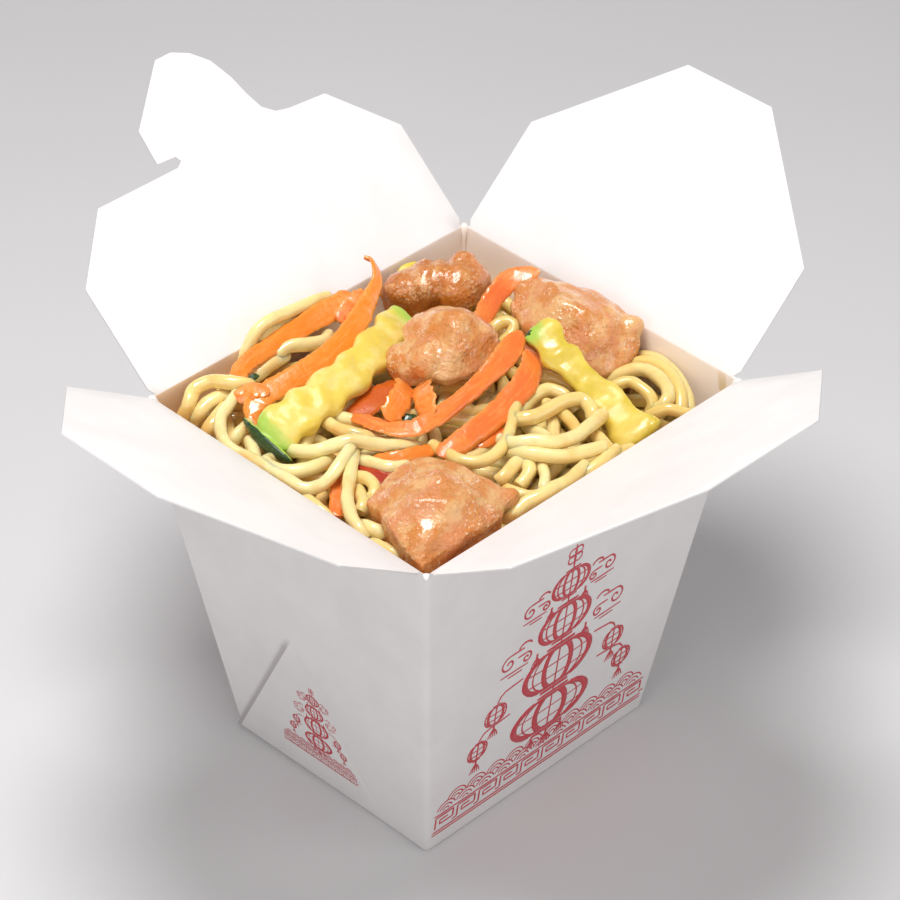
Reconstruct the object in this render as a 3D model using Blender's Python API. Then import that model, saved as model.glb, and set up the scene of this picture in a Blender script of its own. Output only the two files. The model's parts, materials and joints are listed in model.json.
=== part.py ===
"""Open takeaway food pail, filled with noodles and topped with chicken, carrot and courgette.

Metres, +Z up. The origin is the centre of the box's bottom face. The front wall faces -Y and the
left wall -X. Every outline and path below is written in millimetres, and becomes metres where its
mesh is made.
"""

import math

import bmesh
import bpy
from mathutils import Matrix, Vector, noise
from mathutils.bvhtree import BVHTree

MM = 0.001
SHARP_ANGLE = 35                # degrees: edges folded more than this stay sharp

# ---- The folded board box -----------------------------------------------------------------------
BOARD = 0.5                     # thickness of the paperboard
TOP_HALF = (52.5, 46.0)         # half width (X) and half depth (Y) at the rim creases
BOTTOM_HALF = (38.5, 33.5)
RIM_Z = 102.0                   # height of the creases that the flaps turn on
WALL_TOP_Z = 101.2              # the wall's own edge, just under the creases
CORNER_RADIUS = 1.6             # the folded upright edges are slightly round
CORNER_STEPS = 4
CORNER_BULGES = {(-1, 1): 1.6, (1, -1): 0.8}    # the pleats folded into two upright edges stand out
BULGE_Z = 70.0                  # where they stand out most
BULGE_REACH = 9.0               # length of wall that a pleat lifts
GAP = 0.3                       # kept between neighbouring solids

WEB_APEX = (7.7, 46.0)          # folded web on a side wall: place along the wall and height
WEB_FEET = (32.6, -19.0)        # where its two edges reach the bottom
WEB_PROUD = 0.5                 # one more layer of board
WEB_FOOT_Z = 0.6

# ---- The four flaps: distances along and away from the crease -----------------------------------
FLAP_START = 0.5                # the flap's board begins this far from its crease
FLAP_LIFT = 0.05                # and lies just inside the crease's plane, so it can hang outside the wall
FLAPS = {
    # name: (outward direction, angle above level at rest, half width, straight side, tip, tip half width)
    "flap_front": ((0, -1), 33.2, 51.9, 29.5, 60.6, 18.0),
    "flap_left": ((-1, 0), 33.9, 45.0, 30.5, 60.5, 15.8),
    "flap_right": ((1, 0), 42.4, 45.0, 30.8, 61.5, 13.6),
    "flap_back": ((0, 1), 40.7, 51.9, 29.8, 45.6, 37.0),
}

# The hook on the back flap's tip edge, from its right foot round to the notch at its left.
TAB_RIGHT_FOOT = ((25.5, 46.4), (21.6, 47.2), (18.6, 49.8), (16.9, 54.6), (15.7, 59.7))
TAB_CROWN = ((13.1, 65.6), (9.0, 69.6), (4.4, 71.8), (-0.6, 71.7))
TAB_LEFT = ((-15.6, 57.8), (-16.2, 48.6), (-10.6, 48.3), (-9.8, 46.8), (-11.6, 45.6))

# ---- The food -----------------------------------------------------------------------------------
CHUNK_RINGS = 13
CHUNK_SIDES = 24
CHUNK_SHARPNESS = 5.0           # higher is squarer
CHUNK_BUMP = 0.05               # unevenness of the skin, as a share of the chunk's size
CHUNK_BUMP_RATE = 2.2           # and how often it rises and falls
CHUNKS = {
    # name: (plan corners, lowest, highest, top's slope in X and Y, how far the sides lean out as they rise)
    "chicken_front": (
        ((-48.6, -42.3), (-16, -42.3), (-14.6, -35), (-25.6, -16.4), (-31, -15.4), (-43, -20)),
        84, 108.4, (0.1, 0.0), 0.14),
    "chicken_centre": (
        ((-3.4, 17.4), (11, 18.8), (21.6, 10.5), (21.6, 0), (11, -4), (-4.4, 7)), 97, 114, (0, 0), 0),
    "chicken_right": (
        ((28.4, 6.6), (37.5, 9.4), (47, 4.5), (51.2, -6), (50.8, -19.6), (38, -19), (29, -8)),
        91, 110, (0, 0), 0.14),
    "chicken_back": (
        ((20, 43.2), (29.5, 43.4), (37.6, 37.6), (43.8, 28.6), (41, 24.4), (33, 20.6), (17.5, 31.6)),
        89, 101.8, (-0.2, 0.2), 0.12),
}

PATH_STEPS = 4                  # stretches of a strip between two of its points
LEAST_SIDE = 0.2                # below this a strip runs so steeply that its side needs a set direction
STEEP_SIDE = (0.7, -0.7, 0)

CARROT_THICK = 1.2
CARROT_EDGE = 0.6               # thickness at a strip's edge, as a share of that at its middle
CARROT_FLAT = 0.45              # how much of its width is flat
CARROT_TAPER = (0.62, 0.9)      # widths of its last two sections, as shares of the full width
CARROTS = {
    # name: (points (x, y, z, width, roll in degrees: 0 lies flat))
    "carrot_long_outer": (
        (-34, 32.4, 101, 5, 20), (-31.5, 39.5, 102.5, 5, 20), (-22, 39.6, 103.5, 6, 20),
        (-11.6, 39.4, 104, 6.6, 25), (-2, 39.4, 104.3, 7, 25), (5.5, 40.2, 104.5, 6, 25),
        (10, 41.2, 104.2, 5, 25)),
    "carrot_long_inner": (
        (-39.4, 28.8, 100.8, 6.4, 20), (-31.7, 29.1, 103, 6.4, 20), (-24, 27.2, 104.3, 6.4, 20),
        (-14.6, 26.9, 104.4, 6.2, 20), (-6.6, 28, 105, 6, 25), (0.5, 30, 106.5, 5, 30),
        (7, 33.2, 107.5, 4.6, 40), (11.2, 35.6, 109, 4, 60), (13.2, 38, 111, 3.4, 70),
        (14.3, 39.8, 113, 2.6, 70)),
    "carrot_bend_back": (
        (24.8, 12.6, 104, 5.6, 10), (31.4, 15.2, 105.5, 5.6, 0), (37.2, 16.4, 107.5, 5.4, -10),
        (41.5, 13.8, 109, 5, 10), (46, 11.4, 108.4, 4, 20)),
    "carrot_arc_upper": (
        (20.9, -3, 109.2, 3, 30), (15.3, -4.9, 108.2, 4.4, 30), (8.4, -6, 106.8, 4.8, 30),
        (1.7, -7, 105.8, 4.8, 30), (-7, -7.4, 104.4, 4.8, 30), (-16.9, -7.8, 103, 4.6, 25),
        (-21.2, -5.2, 102.5, 4.6, 20), (-23.5, 0.1, 102.3, 4.4, 15), (-24.4, 5.6, 102, 3.6, 10)),
    "carrot_arc_lower": (
        (20.1, -6.8, 106, 3.6, 30), (17.3, -11.3, 105, 5.4, 25), (11.1, -14.1, 103.5, 6, 20),
        (3, -15.7, 103, 6, 20), (-6.4, -16.4, 103, 6, 20), (-16, -15.6, 102, 5, 20)),
    "carrot_curl_right": (
        (-5.6, 3.4, 104.6, 5, 50), (-9.4, 0.6, 105.6, 5, 50), (-11.6, -2.6, 104.8, 4.4, 50)),
    "carrot_curl_left": ((-9.4, 6.2, 103.8, 4.6, 40), (-15, 3.6, 105, 4.6, 40), (-18.6, 1.2, 104.2, 4, 40)),
    "carrot_short": ((-21.6, 12.2, 99.6, 5, 10), (-14.4, 12.8, 99.8, 5, 10), (-7.4, 13.2, 99.4, 5, 10)),
    "carrot_front": ((-34.5, -1, 98, 4.6, 10), (-41, -7, 97.4, 4.6, 10), (-47, -12.4, 96.6, 4.6, 10)),
    "carrot_under": ((-32.5, -4.4, 97.6, 5, 0), (-31, -8, 97.2, 7, 0), (-30, -11.6, 96.6, 7, 0)),
}

COURGETTE_SIDES = 10
COURGETTE_WAVE = 0.8            # height of the crinkle cut
COURGETTE_PITCH = 9.0
COURGETTE_SQUARENESS = 0.7      # 1 is an oval section, less is squarer
COURGETTE_TAPER = (0.7, 0.92)   # sizes of its last two sections, as shares of the full size
COURGETTES = {
    # name: (points (x, y, z, width), thickness)
    "courgette_left": (
        ((-44.5, 14.2, 102, 9), (-42, 15, 102.4, 11), (-34.1, 15.9, 103.4, 11), (-26, 15.3, 104.4, 10),
         (-18.7, 15, 105, 9.4), (-8.8, 18, 104.6, 8.6), (1.6, 23.6, 102.3, 8.4), (8.6, 28, 101.2, 8)), 5.6),
    "courgette_right": (
        ((25.4, -5.4, 110.4, 7), (25.2, -9.6, 108.6, 8), (25.4, -16.6, 105.2, 8), (25.4, -22.8, 102.2, 8),
         (26.2, -27.8, 99.8, 8.4), (25.9, -33.8, 97.8, 9.4), (24.6, -40.4, 96, 10)), 5.2),
}

HEAP_FLOOR_Z = BOARD + GAP
HEAP_CELLS = (26, 23)
HEAP_SIDE_LEVELS = (HEAP_FLOOR_Z, 32.0, 64.0)
HEAP_WALL_GAP = 0.6
HEAP_UNDER_FOOD = 0.5
HEAP_BUMP = 1.6                 # unevenness of the noodles' top
HEAP_BUMP_SPACING = 7.0
HEAP_SOFTNESS = 20.0            # how gently one named level passes into the next
HEAP_LEVELS = {
    # height of the noodles near each place in plan
    (-52, 46): 88.0, (-34, 42): 99.5, (0, 42): 98.5, (30, 42): 94.0, (52, 46): 88.0,
    (-50, 20): 97.0, (-25, 10): 99.5, (5, 10): 98.0, (52, 10): 92.0, (50, -20): 91.0,
    (-50, -10): 97.0, (-20, -15): 98.5, (5, -25): 98.5, (20, -30): 97.5, (38, -40): 91.0,
    (-30, -42): 94.0, (0, -44): 97.0,
}

COLOURS = {
    # finish: (base colour, roughness)
    "board": ((0.86, 0.85, 0.84), 0.55),
    "noodle": ((0.87, 0.70, 0.40), 0.40),
    "chicken": ((0.72, 0.38, 0.17), 0.35),
    "carrot": ((0.90, 0.27, 0.05), 0.35),
    "courgette": ((0.83, 0.70, 0.22), 0.35),
}


def clear_scene():
    for old in list(bpy.data.objects):
        bpy.data.objects.remove(old)


def material(name):
    """The finish of one kind of piece, made once."""
    found = bpy.data.materials.get(name)
    if found:
        return found
    colour, roughness = COLOURS[name]
    made = bpy.data.materials.new(name)
    made.use_nodes = True
    shader = made.node_tree.nodes["Principled BSDF"]
    shader.inputs["Base Color"].default_value = (*colour, 1)
    shader.inputs["Roughness"].default_value = roughness
    shader.inputs["Metallic"].default_value = 0
    return made


def new_object(name, bm, finish, smooth=True):
    """Turns a mesh written in millimetres into a finished object in metres."""
    bmesh.ops.recalc_face_normals(bm, faces=bm.faces[:])
    bmesh.ops.scale(bm, vec=(MM, MM, MM), verts=bm.verts[:])
    mesh = bpy.data.meshes.new(name)
    bm.to_mesh(mesh)
    bm.free()
    mesh.materials.append(material(finish))
    made = bpy.data.objects.new(name, mesh)
    bpy.context.scene.collection.objects.link(made)
    if smooth:
        mesh.shade_smooth()
        mesh.set_sharp_from_angle(angle=math.radians(SHARP_ANGLE))
    return made


def bridge(bm, low, high):
    """Faces between two closed rings of the same count."""
    count = len(low)
    for i in range(count):
        j = (i + 1) % count
        bm.faces.new((low[i], low[j], high[j], high[i]))


def ring(bm, points):
    return [bm.verts.new(p) for p in points]


# ---- Box ----------------------------------------------------------------------------------------
def half_size(z, inset=0.0):
    """Half width and half depth of the box's outer face at height z, drawn in by inset."""
    share = z / RIM_Z
    return tuple(low + (high - low) * share - inset for low, high in zip(BOTTOM_HALF, TOP_HALF))


def rounded_rectangle(z, inset, radius):
    """Points of the box's outline at height z, anticlockwise, with a short arc at each corner."""
    half_x, half_y = half_size(z, inset)
    points = []
    for turn, (sx, sy) in enumerate(((1, 1), (-1, 1), (-1, -1), (1, -1))):
        bulge = CORNER_BULGES.get((sx, sy), 0) if z == BULGE_Z else 0
        centre = Vector((sx * (half_x - radius + bulge), sy * (half_y - radius + bulge), z))
        arc = []
        for step in range(CORNER_STEPS + 1):
            angle = math.radians(90 * turn + 90 * step / CORNER_STEPS)
            arc.append(centre + radius * Vector((math.cos(angle), math.sin(angle), 0)))
        on_x_wall = Vector((sx * half_x, sy * (half_y - BULGE_REACH), z))
        on_y_wall = Vector((sx * (half_x - BULGE_REACH), sy * half_y, z))
        ends = (on_x_wall, on_y_wall) if sx * sy > 0 else (on_y_wall, on_x_wall)
        points += [ends[0], *arc, ends[1]]
    return points


def wall_frame(side):
    """A side wall's outer face: its foot's centre, its direction up and its normal. side is -1 or 1."""
    foot = Vector((side * BOTTOM_HALF[0], 0, 0))
    up = (Vector((side * TOP_HALF[0], 0, RIM_Z)) - foot).normalized()
    normal = Vector((side * up.z, 0, -side * up.x))
    return foot, up, normal


def make_web(side):
    """The triangle of board folded flat onto a side wall. It starts at one lower corner of the box."""
    foot, up, normal = wall_frame(side)
    slope = 1 / up.z
    outline = ((WEB_FEET[0], WEB_FOOT_Z), WEB_APEX, (WEB_FEET[1], WEB_FOOT_Z))
    bm = bmesh.new()
    layers = []
    for depth in (-BOARD / 2, WEB_PROUD):
        layers.append(ring(bm, [
            foot + up * (z * slope) + normal * depth + Vector((0, -side * along, 0)) for along, z in outline]))
    bridge(bm, *layers)
    for layer in layers:
        bm.faces.new(layer)
    return new_object(f"web_{side}", bm, "board")


def make_box_body():
    bm = bmesh.new()
    rings = [
        ring(bm, rounded_rectangle(z, inset, CORNER_RADIUS - inset))
        for z, inset in ((BOARD, BOARD), (WALL_TOP_Z, BOARD), (WALL_TOP_Z, 0), (BULGE_Z, 0), (0, 0))
    ]
    for low, high in zip(rings, rings[1:]):
        bridge(bm, low, high)
    bm.faces.new(rings[0])
    bm.faces.new(rings[-1])
    body = new_object("box_body", bm, "board")
    for side in (-1, 1):
        web = make_web(side)
        web.hide_render = True
        web.display_type = "WIRE"
        union = body.modifiers.new(f"web_{side}", "BOOLEAN")
        union.operation = "UNION"
        union.solver = "EXACT"
        union.object = web
    return body


# ---- Flaps --------------------------------------------------------------------------------------
def flap_outline(name):
    """The flap's outline as (along the crease, away from it), anticlockwise."""
    _, _, half_width, straight, tip, tip_half = FLAPS[name]
    tip_edge = [(tip_half, tip), (-tip_half, tip)]
    if name == "flap_back":
        tip_edge[1:1] = [*TAB_RIGHT_FOOT, *TAB_CROWN, *TAB_LEFT]
    return [
        (-half_width, FLAP_START), (half_width, FLAP_START),
        (half_width, straight), *tip_edge, (-half_width, straight)]


def make_flap(name):
    """A flat board that turns on its crease, hung from an empty that stands on the crease."""
    outward, angle = FLAPS[name][:2]
    outward = Vector((*outward, 0))
    along = outward.cross(Vector((0, 0, 1)))
    crease = Vector((outward.x * TOP_HALF[0], outward.y * TOP_HALF[1], RIM_Z))
    lean = math.radians(angle)
    away = outward * math.cos(lean) + Vector((0, 0, math.sin(lean)))
    face = along.cross(away)

    pivot = bpy.data.objects.new(f"crease_{name}", None)
    bpy.context.scene.collection.objects.link(pivot)
    pivot.matrix_world = Matrix.Translation(crease * MM) @ Matrix((along, away, face)).transposed().to_4x4()

    bm = bmesh.new()
    outline = flap_outline(name)
    layers = [ring(bm, [(u, v, depth) for u, v in outline]) for depth in (FLAP_LIFT, FLAP_LIFT + BOARD)]
    bridge(bm, *layers)
    for layer in layers:
        bm.faces.new(layer)
    flap = new_object(name, bm, "board", smooth=False)
    flap.parent = pivot
    return flap


# ---- Toppings -----------------------------------------------------------------------------------
def chunk_planes(corners, low, high, slope, lean, centre):
    """Side, top and bottom planes of a chunk, as (normal, distance from its centre)."""
    planes = []
    count = len(corners)
    for i in range(count):
        a, b = Vector(corners[i]), Vector(corners[(i + 1) % count])
        middle = (a + b) / 2 - Vector(centre[:2])
        normal = Vector((b.y - a.y, a.x - b.x)).normalized()
        if normal.dot(middle) < 0:
            normal = -normal
        planes.append((Vector((*normal, -lean)).normalized(), normal.dot(middle)))
    planes.append((Vector((*slope, 1)).normalized(), high - centre[2]))
    planes.append((Vector((0, 0, -1)), centre[2] - low))
    return planes


def make_chunk(name):
    """A hand-torn lump: flat cut sides met by round edges, with a slightly bumpy skin."""
    corners, low, high, slope, lean = CHUNKS[name]
    middle = [sum(c[k] for c in corners) / len(corners) for k in (0, 1)]
    centre = Vector((*middle, (low + high) / 2))
    planes = chunk_planes(corners, low, high, slope, lean, centre)
    seed = Vector((len(name), centre.x, centre.y))

    def reach(direction):
        total = sum((max(n.dot(direction), 0) / d) ** CHUNK_SHARPNESS for n, d in planes)
        bump = 1 + CHUNK_BUMP * noise.noise(direction * CHUNK_BUMP_RATE + seed)
        return total ** (-1 / CHUNK_SHARPNESS) * bump

    bm = bmesh.new()
    rings = []
    for row in range(1, CHUNK_RINGS):
        tilt = math.pi * row / CHUNK_RINGS
        points = []
        for side in range(CHUNK_SIDES):
            turn = math.tau * side / CHUNK_SIDES
            direction = Vector((
                math.sin(tilt) * math.cos(turn), math.sin(tilt) * math.sin(turn), math.cos(tilt)))
            points.append(centre + direction * reach(direction))
        rings.append(ring(bm, points))
    for upper, lower in zip(rings, rings[1:]):
        bridge(bm, upper, lower)
    for direction, end in ((Vector((0, 0, 1)), rings[0]), (Vector((0, 0, -1)), rings[-1])):
        pole = bm.verts.new(centre + direction * reach(direction))
        for i, corner in enumerate(end):
            bm.faces.new((pole, corner, end[(i + 1) % CHUNK_SIDES]))
    return new_object(name, bm, "chicken")


def smooth_path(points):
    """Catmull-Rom curve through points of any dimension."""
    first = [2 * a - b for a, b in zip(points[0], points[1])]
    last = [2 * a - b for a, b in zip(points[-1], points[-2])]
    guide = [first, *points, last]
    path = []
    for p0, p1, p2, p3 in zip(guide, guide[1:], guide[2:], guide[3:]):
        for step in range(PATH_STEPS):
            t = step / PATH_STEPS
            path.append([
                0.5 * (2 * b + (c - a) * t + (2 * a - 5 * b + 4 * c - d) * t * t
                       + (3 * b - a - 3 * c + d) * t ** 3)
                for a, b, c, d in zip(p0, p1, p2, p3)])
    path.append(list(points[-1]))
    return path


def sweep(bm, places, sections):
    """Closed solid through one cross-section, given as (sideways, upwards) pairs, at each place."""
    rings = []
    for i, (place, section) in enumerate(zip(places, sections)):
        before, after = places[max(i - 1, 0)], places[min(i + 1, len(places) - 1)]
        tangent = (Vector(after[:3]) - Vector(before[:3])).normalized()
        side = tangent.cross(Vector((0, 0, 1)))
        side = side if side.length > LEAST_SIDE else Vector(STEEP_SIDE)
        side = (side - tangent * side.dot(tangent)).normalized()
        turn = Matrix.Rotation(math.radians(place[-1]), 3, tangent)
        side, top = turn @ side, turn @ side.cross(tangent)
        rings.append(ring(bm, [Vector(place[:3]) + side * s + top * h for s, h in section]))
    for low, high in zip(rings, rings[1:]):
        bridge(bm, low, high)
    bm.faces.new(rings[0])
    bm.faces.new(rings[-1])


def make_carrot(name):
    """A thin strip of carrot with drawn-in ends."""
    path = smooth_path(CARROTS[name])
    thick = CARROT_THICK / 2
    sections = []
    for i, place in enumerate(path):
        end = min(i, len(path) - 1 - i)
        half = place[3] / 2 * (CARROT_TAPER[end] if end < len(CARROT_TAPER) else 1)
        edge, flat = thick * CARROT_EDGE, half * CARROT_FLAT
        sections.append([
            (half, -edge), (half, edge), (flat, thick), (-flat, thick), (-half, edge), (-half, -edge),
            (0, -thick)])
    bm = bmesh.new()
    sweep(bm, path, sections)
    return new_object(name, bm, "carrot")


def make_courgette(name):
    """A crinkle-cut stick: a rounded bar whose edges swing from side to side."""
    points, thickness = COURGETTES[name]
    path = smooth_path([(*p, 0) for p in points])
    sections = []
    run = 0.0
    for i, place in enumerate(path):
        if i:
            run += (Vector(place[:3]) - Vector(path[i - 1][:3])).length
        swing = COURGETTE_WAVE * math.sin(math.tau * run / COURGETTE_PITCH)
        end = min(i, len(path) - 1 - i)
        size = COURGETTE_TAPER[end] if end < len(COURGETTE_TAPER) else 1.0
        section = []
        for k in range(COURGETTE_SIDES):
            angle = math.tau * k / COURGETTE_SIDES
            c, s = math.cos(angle), math.sin(angle)
            section.append((
                place[3] / 2 * size * math.copysign(abs(c) ** COURGETTE_SQUARENESS, c) + swing,
                thickness / 2 * size * math.copysign(abs(s) ** COURGETTE_SQUARENESS, s)))
        sections.append(section)
    bm = bmesh.new()
    sweep(bm, path, sections)
    return new_object(name, bm, "courgette")


# ---- Noodles ------------------------------------------------------------------------------------
def noodle_level(x, y):
    """Height of the noodles' top at a place in plan, a smooth mix of the named levels."""
    total = weight = 0.0
    for (px, py), level in HEAP_LEVELS.items():
        share = 1 / ((x - px) ** 2 + (y - py) ** 2 + HEAP_SOFTNESS) ** 1.5
        total += share * level
        weight += share
    return total / weight + HEAP_BUMP * noise.noise(Vector((x, y, 0)) / HEAP_BUMP_SPACING)


def make_noodle_heap(toppings):
    """The whole tangle as one solid, which dips wherever a topping lies in it."""
    trees = []
    for topping in toppings:
        matrix = topping.matrix_world
        corners = [matrix @ v.co / MM for v in topping.data.vertices]
        faces = [tuple(p.vertices) for p in topping.data.polygons]
        trees.append(BVHTree.FromPolygons(corners, faces))

    columns, rows = HEAP_CELLS
    half_x, half_y = half_size(RIM_Z, BOARD)
    reach = Vector((half_x / columns * 2, half_y / rows * 2))

    def clear_height(x, y):
        """The most height that stays under every topping within one cell of the place."""
        height = RIM_Z
        for dx in (-1, -0.5, 0, 0.5, 1):
            for dy in (-1, -0.5, 0, 0.5, 1):
                start = Vector((x + dx * reach.x, y + dy * reach.y, 0))
                for tree in trees:
                    hit = tree.ray_cast(start, Vector((0, 0, 1)))[0]
                    if hit:
                        height = min(height, hit.z - HEAP_UNDER_FOOD)
        return height

    bm = bmesh.new()
    grid = {}
    for i in range(columns + 1):
        for j in range(rows + 1):
            u, v = 2 * i / columns - 1, 2 * j / rows - 1
            height = RIM_Z
            for height_at in (noodle_level, clear_height):
                wide, deep = half_size(height, BOARD + HEAP_WALL_GAP)
                height = min(height, height_at(u * wide, v * deep))
            wide, deep = half_size(height, BOARD + HEAP_WALL_GAP)
            grid[i, j] = bm.verts.new((u * wide, v * deep, height))
    for i in range(columns):
        for j in range(rows):
            bm.faces.new((grid[i, j], grid[i + 1, j], grid[i + 1, j + 1], grid[i, j + 1]))

    rim = [(i, 0) for i in range(columns)] + [(columns, j) for j in range(rows)]
    rim += [(i, rows) for i in range(columns, 0, -1)] + [(0, j) for j in range(rows, 0, -1)]
    upper = [grid[key] for key in rim]
    for z in reversed(HEAP_SIDE_LEVELS):
        half = half_size(z, BOARD + HEAP_WALL_GAP)
        lower = ring(bm, [
            ((2 * i / columns - 1) * half[0], (2 * j / rows - 1) * half[1], z) for i, j in rim])
        bridge(bm, lower, upper)
        upper = lower
    bm.faces.new(upper)
    bmesh.ops.triangulate(bm, faces=bm.faces[:])
    return new_object("noodle_heap", bm, "noodle")


def main():
    clear_scene()
    make_box_body()
    for name in FLAPS:
        make_flap(name)
    toppings = [make_chunk(name) for name in CHUNKS]
    toppings += [make_carrot(name) for name in CARROTS]
    toppings += [make_courgette(name) for name in COURGETTES]
    make_noodle_heap(toppings)


main()
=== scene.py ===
# %% [markdown]
# # An open noodle box
#
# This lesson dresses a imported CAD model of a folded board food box, filled with noodles and topped with
# chicken, carrot and courgette. The CAD solids settle every place and size. Here each one gets its finish,
# or gives way to a piece with the detail of the real thing.
#
# The work goes from the outside in: the view and the light, the board, the printed figure, the toppings,
# and last the noodles, which are laid around everything else.

# %% Load the frame
import json
import math

import bmesh
import bpy
import numpy as np
from mathutils import Matrix, Vector, noise
from mathutils.bvhtree import BVHTree

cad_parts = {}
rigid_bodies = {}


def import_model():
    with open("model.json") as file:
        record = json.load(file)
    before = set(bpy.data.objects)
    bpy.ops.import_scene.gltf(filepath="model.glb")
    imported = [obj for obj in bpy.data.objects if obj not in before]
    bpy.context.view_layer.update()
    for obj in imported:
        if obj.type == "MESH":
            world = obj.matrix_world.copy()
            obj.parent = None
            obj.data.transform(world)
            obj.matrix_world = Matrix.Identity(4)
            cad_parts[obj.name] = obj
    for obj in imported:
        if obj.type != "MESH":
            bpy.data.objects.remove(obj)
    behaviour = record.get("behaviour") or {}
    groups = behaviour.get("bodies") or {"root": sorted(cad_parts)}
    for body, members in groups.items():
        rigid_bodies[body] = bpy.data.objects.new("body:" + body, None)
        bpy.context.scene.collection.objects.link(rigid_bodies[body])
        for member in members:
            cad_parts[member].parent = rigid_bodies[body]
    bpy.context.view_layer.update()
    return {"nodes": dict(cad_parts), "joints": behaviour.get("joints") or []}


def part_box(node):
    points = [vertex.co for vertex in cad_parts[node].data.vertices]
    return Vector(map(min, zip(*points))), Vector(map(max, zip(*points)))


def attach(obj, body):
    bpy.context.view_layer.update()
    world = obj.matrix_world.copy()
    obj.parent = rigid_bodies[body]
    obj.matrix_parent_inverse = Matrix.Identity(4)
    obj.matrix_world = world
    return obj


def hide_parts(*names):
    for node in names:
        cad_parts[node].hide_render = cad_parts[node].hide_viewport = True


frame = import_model()
nodes = frame["nodes"]
MM = 0.001

# %% [markdown]
# ## Measures
#
# Lengths in this lesson are millimetres, as on a maker's drawing, and become metres only when a mesh is
# made. The four creases at the rim are the joints of the model, so the box's top is read from them, and the
# size of its foot from the lowest points of the box's own solid.

# %% Measures of the box
creases = {joint["child"]: joint for joint in frame["joints"]}
RIM_Z = creases["flap_front"]["pos_m"][2] / MM
TOP_HALF = (creases["flap_right"]["pos_m"][0] / MM, creases["flap_back"]["pos_m"][1] / MM)
foot = [v.co / MM for v in nodes["box_body"].data.vertices if v.co.z < MM / 100]
FOOT_HALF = (max(p.x for p in foot), max(p.y for p in foot))
BOARD = 0.5  # thickness of the board
UP = Vector((0, 0, 1))


def half_size(z, inset=0.0):
    """Half width and half depth of the box's outer face at height z, drawn in by inset."""
    share = z / RIM_Z
    return tuple(low + (high - low) * share - inset for low, high in zip(FOOT_HALF, TOP_HALF))


print("rim", RIM_Z, "top", TOP_HALF, "foot", [round(x, 2) for x in FOOT_HALF])

# %% [markdown]
# ## The view, the light and the floor
#
# Food on a pale floor is usually lit by one large soft lamp from above and behind, so that wet surfaces
# catch it, while a pale surround fills the shadows. The camera looks down over one corner of the box
# through a long lens, which keeps the box's edges nearly parallel.

# %% Camera
def into_scene(name, data):
    """A new object in the scene, at the origin, for some data."""
    made = bpy.data.objects.new(name, data)
    bpy.context.scene.collection.objects.link(made)
    return made


VIEW_AZIMUTH, VIEW_ELEVATION, VIEW_ROLL = -45.77, 37.55, 1.03
VIEW_DISTANCE = 918.9
VIEW_SHIFT = (2.28, 66.7)  # how far the camera stands right of and above the box's origin
LENS = 145.16


def make_camera():
    azimuth, elevation, roll = (math.radians(a) for a in (VIEW_AZIMUTH, VIEW_ELEVATION, VIEW_ROLL))
    back = Vector((math.sin(azimuth) * math.cos(elevation), -math.cos(azimuth) * math.cos(elevation),
                   math.sin(elevation)))
    right = Vector((math.cos(azimuth), math.sin(azimuth), 0))
    up = back.cross(right)
    right, up = (math.cos(roll) * right + math.sin(roll) * up, math.cos(roll) * up - math.sin(roll) * right)
    place = back * VIEW_DISTANCE + right * VIEW_SHIFT[0] + up * VIEW_SHIFT[1]
    data = bpy.data.cameras.new("camera")
    data.lens = LENS
    data.clip_start = 0.05
    camera = into_scene("camera", data)
    camera.matrix_world = Matrix.Translation(place * MM) @ Matrix((right, up, back)).transposed().to_4x4()
    bpy.context.scene.camera = camera


make_camera()
print("camera lens", LENS, "mm")

# %% Lamps and surround
LAMPS = {
    # name: (place in mm, what it points at, size in mm, power in watts, colour)
    "overhead": ((-60, 40, 760), (0, 0, 100), 300, 3.95, (1.0, 0.992, 0.985)),
    "front_soft": ((-400, -380, 580), (0, 0, 95), 580, 0.75, (1.0, 0.99, 0.98)),
    "left_fill": ((-620, -120, 330), (0, 0, 60), 380, 0.58, (1.0, 0.985, 0.98)),
    "right_fill": ((330, -620, 300), (0, 0, 60), 380, 0.74, (1.0, 0.985, 0.975)),
}
SURROUND = (1.0, 0.99, 0.99)
SURROUND_STRENGTH = 0.25


def make_lamp(name):
    place, target, size, power, colour = LAMPS[name]
    data = bpy.data.lights.new(name, "AREA")
    data.shape = "DISK"
    data.size = size * MM
    data.energy = power
    data.color = colour
    lamp = into_scene(name, data)
    towards = (Vector(target) - Vector(place)).to_track_quat("-Z", "Y")
    lamp.matrix_world = Matrix.Translation(Vector(place) * MM) @ towards.to_matrix().to_4x4()


def make_surround():
    world = bpy.data.worlds.new("surround")
    bpy.context.scene.world = world
    world.use_nodes = True
    background = world.node_tree.nodes["Background"]
    background.inputs["Color"].default_value = (*SURROUND, 1)
    background.inputs["Strength"].default_value = SURROUND_STRENGTH


for lamp_name in LAMPS:
    make_lamp(lamp_name)
make_surround()
bpy.context.scene.view_settings.view_transform = "Standard"
print(len(LAMPS), "lamps")

# %% [markdown]
# ## Material helpers
#
# Every finish below is a node tree, so a few small helpers keep them readable: one adds a node and joins
# its inputs, some add the nodes that come back often, and one opens a node group with named sockets.

# %% Helpers for node trees
def set_input(tree, node, key, value):
    """Sets an input, by name or number, to a value, or joins it to a socket or a node's first output."""
    if isinstance(value, bpy.types.Node):
        value = value.outputs[0]
    if isinstance(value, bpy.types.NodeSocket):
        tree.links.new(value, node.inputs[key])
    else:
        node.inputs[key].default_value = value


def add(tree, kind, inputs=None, **settings):
    node = tree.nodes.new(kind)
    for key, value in settings.items():
        setattr(node, key, value)
    for key, value in (inputs or {}).items():
        set_input(tree, node, key, value)
    return node


def math_node(tree, operation, *values):
    return add(tree, "ShaderNodeMath", dict(enumerate(values)), operation=operation)


def times(tree, first, *others):
    for other in others:
        first = math_node(tree, "MULTIPLY", first, other)
    return first


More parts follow.
